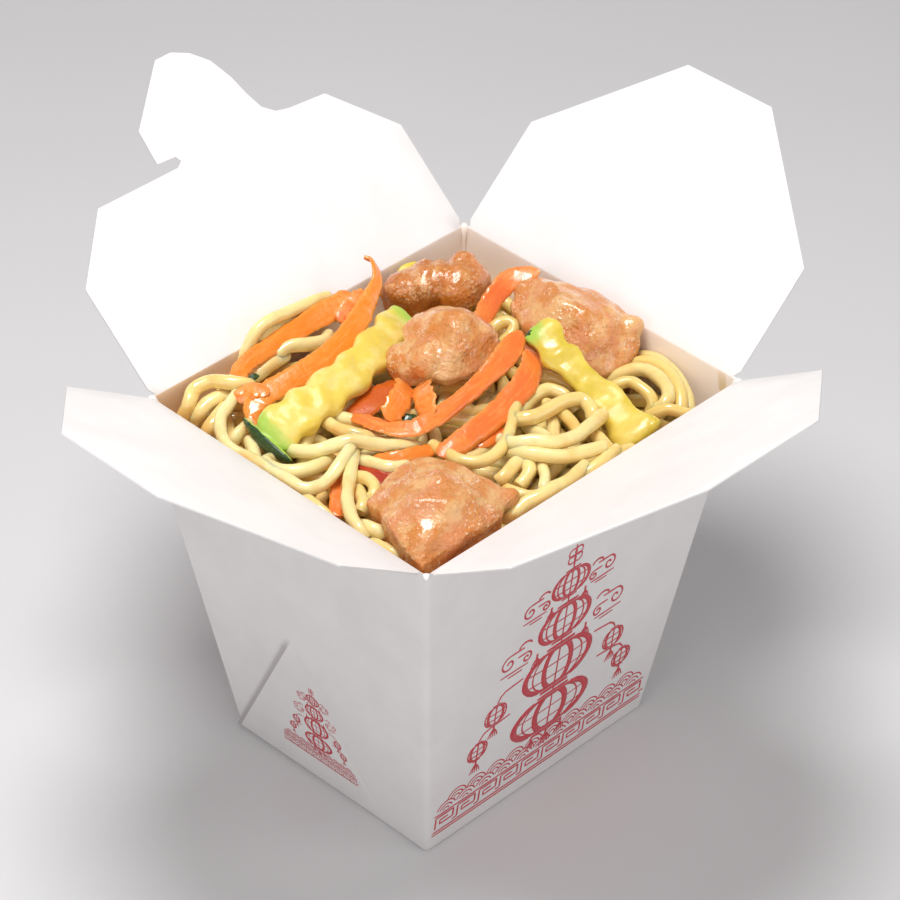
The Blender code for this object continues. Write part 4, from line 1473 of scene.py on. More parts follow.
def build_carrot_finish():
    made, tree, shader, place = soft_finish("shaved_carrot", 0.4, (1.0, 0.4, 0.15), 1.2, 0.1)
    along = add(tree, "ShaderNodeAttribute", attribute_name="ribbon_place").outputs["Vector"]
    fibres = add(tree, "ShaderNodeMapping", {"Vector": along, "Scale": (0.12, 1.0, 1.0)})
    body = colour_mix(tree, attribute(tree, "salmon"), CARROT_ORANGE, CARROT_SALMON)
    body = layered(tree, fibres, body, (CARROT_PALE, 1.3, (0.42, 0.7), 0.25))
    body = layered(tree, place, body, (CARROT_PALE, 8.0, (0.45, 0.65), 0.3))
    # painted light: the thin edges are paler, standing in for light that shines through them
    body = colour_mix(tree, times(tree, attribute(tree, "edge"), 0.4), body, CARROT_PALE)
    body = layered(tree, fibres, body, (CARROT_GLAZED, 0.6, (0.52, 0.68), 0.4, 0.4))
    folds = times(tree, attribute(tree, "wrinkled"), patchy(tree, place, 1.5, (0.4, 0.6), 0.6, 0.2))
    body = colour_mix(tree, folds, body, CARROT_GLAZED)
    # painted shade: the deep value darkens carrot that lies behind or under other pieces
    set_input(tree, shader, "Base Color", colour_mix(tree, attribute(tree, "deep"), body, CARROT_PAINTED_SHADE))
    wet_film(tree, shader, place, 1.2, 0.15, (0.38, 0.2), (0.35, 0.8), (0.28, 0.55))
    return made


make_carrots(build_carrot_finish())

# %% [markdown]
# ## Courgette
#
# The courgette is crinkle-cut: flat sticks whose faces and sides ripple, with soft yellow flesh that lets
# light in, and a dark rind where the cut left it on. Each is swept like a ribbon, but thick, with the
# ripples of the cutter at an even pitch. The rind is a value painted on the mesh, and the shader turns it
# from flesh through pale green to a speckled dark skin. One end keeps a whole crescent of rind, which is its
# own small sickle swept along the end.

# %% Courgette shapes
COURGETTE_SIDES = 32
COURGETTES = {
    # name: (lean in degrees, pitch of the ripples, how far they move its sides, and its faces,
    #        points (x, y, z, width, thickness))
    "courgette_left": (26, 9.2, 0.55, 0.22, (
        (-42.6, 15.6, 100.9, 10.6, 2.6), (-40.6, 15.6, 101.7, 11.2, 4), (-37.3, 15.8, 102.8, 11.2, 5),
        (-31, 15.8, 103.8, 10.8, 5.4), (-23.9, 16.4, 104.4, 10.4, 5.4), (-16.6, 17.2, 104.6, 10.2, 5.2),
        (-8.7, 19.4, 104.4, 9.8, 5), (-0.4, 22.5, 103.8, 9.4, 4.8), (7.4, 25.6, 103.4, 9, 4.4),
        (13.2, 27.8, 102.8, 8, 3.8))),
    "courgette_right": (24, 10.4, 0.5, 0.26, (
        (25.2, -4.4, 110.4, 6.6, 3), (24.6, -7.9, 109.8, 8.4, 3.8), (24.2, -13, 107.2, 8.2, 3.8),
        (24.6, -18.8, 104.9, 7.4, 3.6), (25.2, -24.8, 101.8, 7.6, 3.8), (25.4, -30.8, 100, 8.6, 3.8),
        (24.9, -36.4, 97.6, 10.8, 3.8), (24.4, -41, 96.4, 12, 3.4))),
}
RIND_SPOTS = {
    # name: ((centre, reach of the dark rind, reach of the green), ...)
    "courgette_left": (((14.2, 26.2, 105.2), 1.1, 8.0), ((14, 28.6, 104.6), 1.0, 7.0)),
    "courgette_right": (((21.2, -4.6, 111.6), 1.7, 7.5), ((23.2, -2.0, 112.4), 1.6, 6.0)),
}
COURGETTE_GOLDEN = {"courgette_left": 0.0, "courgette_right": 0.75}  # how far sauce has coloured it
CRESCENT = (  # the sickle of rind: (place, half height, half thickness)
    (-41.6, 25.6, 101.8, 0.4, 0.3), (-42.4, 22.8, 101.6, 1.1, 0.9), (-43.1, 19.4, 101.1, 1.8, 1.25),
    (-43.5, 15.9, 100.6, 2.1, 1.4), (-43.6, 12.6, 100.1, 1.9, 1.3), (-43.4, 9.6, 99.8, 1.3, 1.0),
    (-42.9, 7.6, 99.6, 0.4, 0.3))
CRESCENT_SIDES = 12
CRESCENT_VOXEL = 0.36
CRESCENT_GREEN = (0.2, 6.4)  # the flesh beside the rind is green over this distance


def slab_mesh(lean, pitch, side_wave, face_wave, rows, seed):
    path = even_path(smooth_path(rows), RIBBON_STEP)
    place, width, thick = path[:, :3], path[:, 3], path[:, 4]
    across, out = path_frame(place, np.full(len(path), lean))
    length = np.arange(len(path)) * RIBBON_STEP
    from_end = np.minimum(length, length[-1] - length)
    close = np.sqrt(np.clip(1 - (1 - np.clip(from_end / 1.6, 0, 1)) ** 2, 0.04, 1))
    phase = math.tau * length / pitch + 2.4 * line_noise(length, 16.0, seed)
    rings = []
    for k in range(COURGETTE_SIDES):
        angle = math.tau * k / COURGETTE_SIDES
        u = math.copysign(abs(math.cos(angle)) ** 0.62, math.cos(angle))
        v = math.copysign(abs(math.sin(angle)) ** 0.72, math.sin(angle))
        ripple = side_wave * np.sin(phase + 0.9 * np.sign(u)) * abs(u) ** 2
        spread = u * (width / 2 + ripple) * close
        rise = v * (thick / 2 + face_wave * np.sin(phase + 0.6 * u + 1.4) * abs(v)) * close
        rings.append(place + across * spread[:, None] + out * rise[:, None])
    return tube_mesh(rings)


def make_courgette(name, finish):
    seed = 11 + len(name)
    mesh = slab_mesh(*COURGETTES[name], seed)
    points = vertex_points(mesh)
    push_out(mesh, 0.55 * noise_of(points, 6.0, seed + 3) + 0.14 * noise_of(points, 1.6, seed + 4))
    if name == "courgette_left":
        sickle = [(Vector(place), thick, high) for *place, high, thick in CRESCENT]
        mesh = remeshed(swept(bmesh_of(mesh), oval_rings(sickle, CRESCENT_SIDES)), CRESCENT_VOXEL, 3)
    points = vertex_points(mesh)
    rind = np.zeros(len(points))
    ragged = 0.6 * noise_of(points, 2.6, seed + 5)
    for centre, dark, green in RIND_SPOTS[name]:
        away = np.linalg.norm(points - np.array(centre), axis=1) + ragged
        rind = np.maximum(rind, 0.5 * (1 - smooth_array(dark, green, away)) + 0.5 * (away < dark))
    if name == "courgette_left":
        line = np.array([row[:3] for row in CRESCENT])
        order = np.argsort(line[:, 1])
        inwards = points[:, 0] - np.interp(points[:, 1], line[order, 1], line[order, 0])
        dark = 1 - smooth_array(-0.25, 0.35, inwards + 0.25 * ragged)
        green = 1 - smooth_array(*CRESCENT_GREEN, inwards + ragged)
        rind = np.maximum(rind, np.maximum(0.5 * green, dark))
    set_value(mesh, "rind", rind)
    set_value(mesh, "golden", COURGETTE_GOLDEN[name])
    mesh.shade_smooth()
    keep_piece(name + "_crinkled", mesh, finish, "box", "courgette", name)
    print(name, len(mesh.polygons), "faces")


# %% Courgette finish
FLESH = (0.84, 0.64, 0.10)
FLESH_PALE = (0.91, 0.73, 0.24)
FLESH_WARM = (0.80, 0.50, 0.055)
FLESH_GOLDEN = (0.64, 0.48, 0.03)
RIND_LIGHT = (0.42, 0.62, 0.09)
RIND_DARK = (0.020, 0.060, 0.010)
RIND_SPECK = (0.16, 0.26, 0.05)


def build_courgette_finish():
    made, tree, shader, place = soft_finish("crinkled_courgette", 0.45, (1.0, 0.85, 0.4), 1.6, 0.1)
    flesh = layered(tree, place, FLESH, (FLESH_PALE, 4.8, (0.42, 0.66), 0.9),
                    (FLESH_WARM, 7.0, (0.52, 0.7), 0.2, 0.4))
    golden = times(tree, attribute(tree, "golden"), patchy(tree, place, 9.0, (0.3, 0.6), 1.0, 0.8))
    flesh = colour_mix(tree, golden, flesh, FLESH_GOLDEN)
    rind = attribute(tree, "rind")
    skin = layered(tree, place, RIND_DARK, (RIND_SPECK, 0.8, (0.58, 0.7), 0.5))
    body = colour_mix(tree, ranged(tree, rind, 0.05, 0.5), flesh, RIND_LIGHT)
    body = colour_mix(tree, ranged(tree, rind, 0.55, 0.8), body, skin)
    set_input(tree, shader, "Base Color", body)
    wet_film(tree, shader, place, 1.8, 0.12, (0.44, 0.26), (0.15, 0.55), (0.24, 0.45))
    return made


COURGETTE_FINISH = build_courgette_finish()
for courgette_name in COURGETTES:
    make_courgette(courgette_name, COURGETTE_FINISH)

# %% [markdown]
# ## Small bits
#
# Offcuts of rind and flesh, and a torn leaf, tuck into the gaps between the larger toppings. Each is a
# short slab like the courgette's, with its own share of rind.

# %% Bits
BITS = {
    # name: (rind, points (x, y, z, width, thickness))
    "rind_bit": (1.0, ((-17.8, -0.4, 101.2, 1.8, 0.9), (-15.2, -1.6, 102, 2.8, 1.1),
                       (-12.4, -2.8, 102, 2.2, 0.9))),
    "pale_bit": (0.1, ((25.5, 42.6, 99.6, 2.2, 1.4), (29, 42.8, 101.4, 2.8, 1.8), (33, 42, 101, 2.2, 1.4))),
    "herb_left": (0.8, ((-31.2, 35.6, 101.8, 1.2, 0.5), (-29.8, 34.8, 102.6, 1.8, 0.5),
                        (-28.2, 34.4, 102.4, 1, 0.4))),
}


def make_bit(name):
    rind, rows = BITS[name]
    mesh = slab_mesh(30, 6.0, 0.1, 0.1, rows, len(name))
    push_out(mesh, 0.16 * noise_of(vertex_points(mesh), 1.3, len(name)))
    set_value(mesh, "rind", rind)
    set_value(mesh, "golden", 0.2)
    keep_piece(name, mesh, COURGETTE_FINISH, "box", "courgette")


for bit_name in BITS:
    make_bit(bit_name)
print(len(BITS), "small bits")

# %% [markdown]
# ## Noodles: the plan
#
# The heap is wheat noodles about three and a half millimetres thick, cooked soft and tossed in sauce. They
# lie in loose bundles, loop back where they meet a wall, and dive under one another. A simulation takes
# minutes and can't be steered, so a height map stands in for it: each strand is a path in plan that is
# laid down on what is there already, one after another, and the map rises under it.
#
# There are three layers. A plain core fills the depth of the box. Over it lie seeded random strands, up to
# the heap's CAD surface. The strands on top, among the toppings, are listed one by one, and the random ones
# stay below them.

# %% Height maps
CELL = 0.5
MAP_X = np.arange(-54.0, 54.01, CELL)
MAP_Y = np.arange(-48.0, 48.01, CELL)
NOTHING = 500.0


def height_map(meshes, from_above, outside):
    """The highest (or from below, the lowest) surface of some meshes at each cell, in mm."""
    corners, faces = [], []
    for mesh in meshes:
        base = len(corners)
        corners += [v.co / MM for v in mesh.vertices]
        faces += [[base + i for i in f.vertices] for f in mesh.polygons]
    tree = BVHTree.FromPolygons(corners, faces)
    start, way = (200.0, Vector((0, 0, -1))) if from_above else (-10.0, Vector((0, 0, 1)))
    found = np.full((len(MAP_X), len(MAP_Y)), outside)
    for i, x in enumerate(MAP_X):
        for j, y in enumerate(MAP_Y):
            hit = tree.ray_cast(Vector((x, y, start)), way)[0]
            if hit is not None:
                found[i, j] = hit.z
    return found


heap_top = height_map([nodes["noodle_heap"].data], True, 0.0)
topping_meshes = [o.data for o in bpy.data.objects if o.name.endswith(("_torn", "_shaved", "_crinkled"))]
topping_low = height_map(topping_meshes, False, NOTHING)
print("heap rises to", round(heap_top.max(), 1), "mm under", len(topping_meshes), "toppings")

# %% Strand paths
LOOSE_STRANDS = (
    # on the left
    ((-47, 41, 94), (-46, 40.5, 97), (-44.5, 41, 99.5), (-41.5, 42.5, 101), (-38, 41, 102),
     (-36, 37.5, 102), (-34, 35, 101), (-31.5, 33.5, 99)),
    ((-29.5, 38, 98), (-34, 35, 100), (-40, 32, 101.5), (-45, 29.5, 101.5), (-48.5, 25.5, 100.5),
     (-50, 21, 99.5), (-49.5, 16.5, 98.5), (-49.5, 12, 98), (-49.5, 7, 98), (-49.5, 1.5, 99),
     (-49, -3, 99.5), (-45, -4.5, 100), (-38.5, -3.5, 100.5), (-32.5, -1, 100), (-26.5, 3.5, 98)),
    ((-44.5, 41, 93), (-44.5, 38.5, 97), (-41.5, 38.5, 98.5), (-38.5, 38, 99), (-35.5, 37, 98.5)),
    ((-46.5, 34.5, 94), (-46.5, 32.5, 97), (-43.5, 33, 98.5), (-38, 35, 98.5)),
    ((-46, 24.5, 97), (-44.5, 24.5, 98.5), (-41, 25, 99), (-37, 26.5, 98)),
    ((-43, 22, 98), (-45.5, 18, 98.5), (-47.5, 15, 98), (-47, 14, 96)),
    ((-43.5, 13, 98), (-47.5, 11.5, 99.5), (-48.5, 7.5, 100.5), (-47, 3.5, 101), (-43.5, 1.5, 101),
     (-39, 1.5, 100), (-34, 3.5, 98)),
    ((-39.5, 14, 98), (-40, 9.5, 100), (-39, 5.5, 101.5), (-35.5, 2.5, 102), (-30.5, -1, 102),
     (-25.5, -4.5, 101.5), (-21, -7, 100.5), (-17, -8, 98.5)),
    ((-26, 16.5, 98), (-27.5, 12, 100), (-28, 7, 101), (-26.5, 2.5, 101), (-23.5, 0, 99.5),
     (-21, -1.5, 98)),
    ((-22.5, 16, 98), (-24, 12, 100), (-23, 8, 100.5), (-21.5, 5, 99.5), (-19.5, 2.5, 98)),
    ((-28, 3, 97), (-33, -2.5, 99.5), (-39, -7.5, 100.5), (-44, -12, 100.5), (-48, -17.5, 100),
     (-49.5, -21.5, 98.5), (-49.5, -23.5, 96)),
    ((-35.5, -4.5, 97.5), (-35.5, -7.5, 99), (-35, -9.5, 99.5), (-35.5, -12, 99), (-37.5, -14, 98),
     (-38.5, -13.5, 96)),
    ((-36, -6.5, 96), (-38.5, -10.5, 97.5), (-41, -14, 98), (-43, -15, 97)),
    ((-30.5, 1, 97.5), (-30.5, -2, 98.5), (-29.5, -6, 99), (-27.5, -10, 99), (-23, -11, 98),
     (-19, -10.5, 97)),
    ((-49, -1, 96), (-49.5, -5, 98), (-49.5, -10, 98), (-49.5, -12.5, 97)),
    ((-47, -20.5, 95), (-48, -25.5, 97), (-48, -30.5, 97.5), (-47.5, -32.5, 96.5)),
    ((-45.5, -17, 96), (-46.5, -21, 97.5), (-46.5, -23.5, 97.5), (-45, -25, 96)),
    ((-49, 11, 95), (-49.5, 6, 96.5), (-49.5, 1.5, 97), (-48.5, -2, 96.5)),
    # at the front
    ((15, -10.6, 92), (12, -12.4, 95.4), (8.6, -14.6, 99), (5.4, -17, 101), (1.5, -20, 102),
     (-4, -23.5, 102), (-9, -25, 101.5), (-13.5, -24.5, 101.5), (-16.5, -21, 101.5),
     (-16, -16, 100.5), (-15, -10, 98.5)),
    ((-13.5, -30, 97), (-11.5, -30.5, 99), (-7, -29.5, 100), (-5, -30.5, 100), (-6, -33, 99.5),
     (-8.5, -34, 98), (-10.5, -34, 96.5)),
    ((3, -27, 97), (-1.5, -32.5, 99), (-5, -37, 99.5), (-8, -39.5, 99), (-9, -40.5, 97)),
    ((-12.5, -31, 97), (-13, -35, 98), (-11.5, -38, 98), (-8.5, -39, 97.5), (-4, -38.5, 96.5)),
    ((-20, -38, 96), (-18.5, -40.5, 98.5), (-15.5, -41, 99.5), (-12, -42, 100), (-7.5, -42.5, 100),
     (-1.5, -42.5, 99), (4.5, -41, 97.5)),
    ((8, -15.5, 97.5), (9.5, -16, 99.5), (13.5, -15, 100.5), (18, -15.5, 101), (20, -18.5, 100.5),
     (20, -21, 99.5), (20, -23.5, 98)),
    ((3.5, -17.5, 98), (4, -20, 100), (6.5, -22, 101.5), (11.5, -22.5, 102), (17, -23, 102),
     (20.5, -24.5, 101.5), (20.5, -27, 100.5), (19.5, -29, 99), (19, -29, 97)),
    ((15.5, -17.5, 97), (15, -23, 98.5), (14.5, -27, 99), (13.5, -30, 98.5), (13, -32.5, 97)),
    ((16, -19.5, 97), (11.5, -24, 98.5), (8.5, -27, 98.5), (6.5, -29.5, 97)),
    ((9.5, -16.5, 97), (6.5, -21.5, 98.5), (5.5, -26.5, 98.5), (5, -29, 97)),
    ((-3.5, -21, 98), (-4, -26.5, 100.5), (-1.5, -29.5, 102), (2, -33, 103), (7.5, -34.5, 103),
     (14, -33.5, 102.5), (20, -32, 101.5)),
    ((-4.5, -25.5, 99), (-4.5, -29.5, 100.5), (-2, -33.5, 101.5), (1, -36.5, 101.5), (6, -39, 101),
     (11, -41, 100)),
    ((18.5, -29, 97), (15.5, -34.5, 98.5), (14.5, -37.5, 98.5), (14.5, -39.5, 97.5), (14.5, -40, 95)),
    ((8.5, -41, 96), (11, -42.5, 98), (14, -43, 99), (18.5, -43, 98)),
    ((-1, -40.5, 97), (1.5, -42, 98.5), (5, -43, 99.5), (9, -43, 99), (14, -42, 97.5)),
    # on the right
    ((31, -22, 95), (32, -22, 97), (33.5, -23.5, 98.5), (36, -25.5, 99.5), (36.5, -29, 99.5),
     (36.5, -32, 98.5), (36, -33.5, 97), (35, -33.5, 95)),
    ((37, -19, 95), (39, -20.5, 97.5), (42, -23.5, 99), (42.5, -28, 99.5), (41, -33, 99),
     (39, -35.5, 98), (36.5, -36.5, 96.5), (35.5, -35, 94)),
    ((43, -18.5, 95), (45.5, -20, 97), (46.5, -24, 98), (46.5, -28.5, 98), (44.5, -33.5, 97.5),
     (42, -37, 96.5), (39.5, -39, 95)),
    ((49, -16, 94), (49.5, -19, 96.5), (49.5, -24.5, 97.5), (49, -29.5, 96.5), (46.5, -34.5, 96),
     (44, -38, 95), (42, -39.5, 93)),
    ((31.5, -34.5, 95), (33, -36, 97), (35.5, -38.5, 98.5), (37.5, -41.5, 98), (40, -43, 96)),
    ((19, -6, 97), (21, -7.5, 99), (22.5, -11, 100), (24, -14, 99.5), (25.5, -17, 98)),
    ((24, 10, 101), (26.5, 9.5, 102.5), (29, 8.5, 103), (29.5, 6.5, 102.5), (27.5, 5.5, 101.5),
     (25, 6, 100)),
    # at the back
    ((-25.5, 43.5, 99), (-24, 43.5, 102), (-20.5, 43.5, 105), (-13, 43.5, 106), (-7.5, 43.5, 106),
     (-2, 43.5, 105), (3, 43.5, 103)),
    ((-20, 43.5, 104), (-17.5, 43.5, 105.5), (-12.5, 43.5, 104.5), (-7, 43.5, 104), (-2, 43.5, 103.5),
     (2, 43.5, 103)),
    ((-19, 38.5, 98.5), (-16, 38.5, 100), (-13.5, 37.5, 101), (-10, 36, 101.5), (-6.5, 35, 101.5),
     (-3.5, 36.5, 101)),
    ((-28, 39.5, 97.5), (-26.5, 38.5, 99), (-23, 38, 100), (-19.5, 38, 100.5), (-15.5, 38.5, 100)),
    ((-10.5, 28.5, 100), (-8.5, 27.5, 101), (-6, 26, 101), (-4.5, 24, 100)),
)


def blur(values, width):
    """Smooths a row of values over width of its steps on each side."""
    reach = int(3 * width) + 1
    weights = np.exp(-0.5 * (np.arange(-reach, reach + 1) / width) ** 2)
    padded = np.pad(values, reach, mode="edge")
    return np.convolve(padded, weights / weights.sum(), mode="valid")


print(len(LOOSE_STRANDS), "strands laid by hand")

# %% [markdown]
# ## Laying a strand down
#
# A strand touches the map in a disc as wide as itself. Its height is the least at which the whole disc
# clears what lies below, smoothed along its length, since a noodle is too stiff to drop into every dip.
# Where something lies above, the strand is pressed down under it.

# %% Laying a strand down
DISC = [(i, j) for i in range(-4, 5) for j in range(-4, 5)]
NOODLE_STIFFNESS = 3.2  # mm of length over which a strand evens out its height
NOODLE_SINK = 0.45  # how far one soft strand presses into another


def disc_cells(path, radius):
    """Map cells under each point of a path, and how high the strand's skin is there from its middle."""
    column = np.clip(np.rint((path[:, 0] - MAP_X[0]) / CELL).astype(int), 4, len(MAP_X) - 5)
    row = np.clip(np.rint((path[:, 1] - MAP_Y[0]) / CELL).astype(int), 4, len(MAP_Y) - 5)
    cells_x = column[:, None] + np.array([i for i, j in DISC])
    cells_y = row[:, None] + np.array([j for i, j in DISC])
    away = (MAP_X[cells_x] - path[:, :1]) ** 2 + (MAP_Y[cells_y] - path[:, 1:2]) ** 2
    inside = away < radius ** 2
    rise = np.sqrt(np.maximum(radius ** 2 - away, 0))
    return cells_x, cells_y, inside, rise


def resting_height(path, radius, ground):
    cells_x, cells_y, inside, rise = disc_cells(path, radius)
    return np.where(inside, ground[cells_x, cells_y] + rise, 0).max(axis=1)


def ceiling_height(path, radius, ceiling):
    cells_x, cells_y, inside, rise = disc_cells(path, radius)
    return np.where(inside, ceiling[cells_x, cells_y] - rise, NOTHING).min(axis=1)


def press_into_map(path, radius, ground, ceiling=None):
    """Raises the ground under a laid strand, and lowers the ceiling to its underside."""
    cells_x, cells_y, inside, rise = disc_cells(path, radius)
    np.maximum.at(ground, (cells_x[inside], cells_y[inside]), (path[:, 2:] + rise)[inside])
    if ceiling is not None:
        np.minimum.at(ceiling, (cells_x[inside], cells_y[inside]), (path[:, 2:] - rise)[inside])


def kept_inside(path, radius):
    """The path with its points moved inside the box's walls."""
    for _ in range(2):
        share = np.clip(path[:, 2] / RIM_Z, 0, 1)
        for axis in (0, 1):
            wall = FOOT_HALF[axis] + (TOP_HALF[axis] - FOOT_HALF[axis]) * share - BOARD - radius - 0.1
            path[:, axis] = np.clip(path[:, axis], -wall, wall)
    return path


# %% The strands on top
random_numbers = np.random.default_rng(1204)
NOODLE_RADIUS = 1.76
NOODLE_VARIETY = (0.88, 1.09)  # how much thinner or thicker one strand is than the next
LOOSE_SPACING = 0.7
MOST_LIFT = 2.6  # a strand that crosses another rises no more than this above its place
CORE_DEPTH = 8.5
HEAP_SIDE = 60  # where the heap's top is lower than this, a map cell is outside it

core_top = np.where(heap_top > HEAP_SIDE, heap_top - CORE_DEPTH, 0)
loose_ground = np.zeros_like(heap_top)
ceiling = np.full_like(heap_top, NOTHING)
loose_strands = []
for path_points in sorted(LOOSE_STRANDS, key=lambda strand: max(z for _, _, z in strand)):
    radius = NOODLE_RADIUS * random_numbers.uniform(*NOODLE_VARIETY)
    path = even_path(smooth_path(path_points), LOOSE_SPACING)
    rest = resting_height(path, radius, loose_ground) - NOODLE_SINK
    lift = np.clip(rest - path[:, 2], 0, MOST_LIFT)
    path[:, 2] += blur(lift, NOODLE_STIFFNESS / LOOSE_SPACING)
    path = kept_inside(path, radius)
    press_into_map(path, radius, loose_ground, ceiling)
    loose_strands.append((path, radius))
loose_length = sum(len(path) for path, _ in loose_strands) * LOOSE_SPACING
print(len(loose_strands), "loose strands,", round(loose_length), "mm")

# %% [markdown]
# ## Random strands
#
# A cooked noodle wanders: its direction drifts in slow curves, and it turns back where it comes near a
# wall. Noodles from one nest lie side by side, so most paths are laid as two or three neighbours. A path
# whose place is full already is thrown away, and the laying ends when the heap is full or enough were tried.

# %% Wandering paths
STRAND_STEP = 1.2
STRAND_LENGTHS = (80, 165)
WALL_TURN = 9.0  # a strand starts to turn this far from a wall
TIGHTEST_TURN = 6.5
BUNDLE_SPACING = 4.0
BUNDLE_SIZES = (1, 2, 2, 3)
MOST_BUNDLES = 90
FULL_SHARE = 0.985
FULL_GAP = 4.5  # a map cell is full when its strands come this near to what's above
LAID_AT = 96.0  # height at which a strand is kept inside the walls before it's laid down
TOPPING_DIP = 7  # a topping bounds the strands where it dips less than this into the heap
TOP_GAP = 5  # and elsewhere they stay this far below the heap's surface
MOST_ABOVE = 0.3  # a path that would lie higher above the heap than this is thrown away
END_DIVE = (3.5, 5)  # how deep a strand's ends dive, and over how many steps


def wandering_path(rng):
    """A path in plan that drifts in slow curves and keeps off the walls."""
    inner = np.array(half_size(LAID_AT, BOARD + NOODLE_RADIUS + 0.4))
    place = rng.uniform(-1, 1, 2) * inner * 0.9
    heading = rng.uniform(0, math.tau)
    waves = [(rng.uniform(0.02, 0.07) / k, rng.uniform(22, 60) / k, rng.uniform(0, math.tau))
             for k in (1, 1, 2)]
    path = [place]
    for step in range(int(rng.uniform(*STRAND_LENGTHS) / STRAND_STEP)):
        bend = sum(size * math.sin(math.tau * step * STRAND_STEP / length + phase)
                   for size, length, phase in waves)
        ahead = np.array((math.cos(heading), math.sin(heading)))
        near = (inner - np.abs(place)) / WALL_TURN
        push = np.where(near < 1, -np.sign(place) * (1 - np.clip(near, 0, 1)), 0)
        if push @ push > 0 and push @ ahead < 0.5:
            turn = ahead[0] * push[1] - ahead[1] * push[0]
            side = 1 if turn > 0 else -1
            bend += side * min(1.0, float(np.abs(push).max()) * 1.3) / TIGHTEST_TURN
        heading += np.clip(bend, -1 / TIGHTEST_TURN, 1 / TIGHTEST_TURN) * STRAND_STEP
        ahead = np.array((math.cos(heading), math.sin(heading)))
        place = np.clip(place + STRAND_STEP * ahead, -inner, inner)
        path.append(place)
    path = np.array(path)
    return np.stack([blur(path[:, k], 1.5) for k in (0, 1)], axis=1)


def beside(path, offset, rng):
    """A path that runs beside another, at a distance that wavers a little."""
    along = np.gradient(path, axis=0)
    along /= np.maximum(np.linalg.norm(along, axis=1, keepdims=True), 1e-6)
    waver = blur(rng.normal(0, 3.0, len(path)), 12)
    normal = np.stack([-along[:, 1], along[:, 0]], axis=1)
    moved = path + normal * (offset + waver[:, None])
    return np.stack([blur(moved[:, k], 2.0) for k in (0, 1)], axis=1)


def lay_random_strands():
    ground = core_top.copy()
    inside = heap_top > HEAP_SIDE
    under_toppings = np.where(topping_low > heap_top - TOPPING_DIP, topping_low, heap_top - TOP_GAP)
    lowest = np.minimum(ceiling, under_toppings)
    laid = []
    for _ in range(MOST_BUNDLES):
        lead = wandering_path(random_numbers)
        count = random_numbers.choice(BUNDLE_SIZES)
        for k in range(count):
            plan = beside(lead, (k - (count - 1) / 2) * BUNDLE_SPACING, random_numbers)
            radius = NOODLE_RADIUS * random_numbers.uniform(*NOODLE_VARIETY)
            path = np.column_stack([plan, np.full(len(plan), LAID_AT)])
            path = kept_inside(even_path(path, STRAND_STEP), radius)
            rest = resting_height(path, radius, ground) - NOODLE_SINK
            cells_x, cells_y = (cells[:, DISC.index((0, 0))] for cells in disc_cells(path, radius)[:2])
            level = heap_top[cells_x, cells_y]
            if np.mean(rest + radius - level) > MOST_ABOVE:
                continue
            height = blur(np.maximum(rest, blur(rest, 2)), NOODLE_STIFFNESS / STRAND_STEP)
            height = np.minimum(height, ceiling_height(path, radius, lowest) + NOODLE_SINK)
            height = np.minimum(height, level + 1.5)
            depth, steps = END_DIVE
            fade = np.clip(1 - np.arange(len(path)) / steps, 0, 1)
            height = blur(height, 1.6) - depth * (fade + fade[::-1])
            path[:, 2] = height
            path = kept_inside(path, radius)
            press_into_map(path, radius, ground)
            laid.append((path, radius))
        full = np.mean(ground[inside] > np.minimum(heap_top, lowest)[inside] - FULL_GAP)
        if full > FULL_SHARE:
            break
    return laid, full


random_strands, full_share = lay_random_strands()
random_metres = sum(len(path) for path, _ in random_strands) * STRAND_STEP / 1000
print(len(random_strands), "random strands,", round(random_metres, 1), "m, the heap is",
      round(100 * full_share), "% full")

# %% [markdown]
# ## Strands to noodles
#
# A tube along a path is what Geometry Nodes do best. The tree takes the paths as a curve whose radius is
# the noodle's, sweeps a slightly flattened round along it, and then moves the skin in and out by noise,
# because a soft noodle is nowhere quite even. It also gives each strand its own tint between 0 and 1 for
# the material to read.

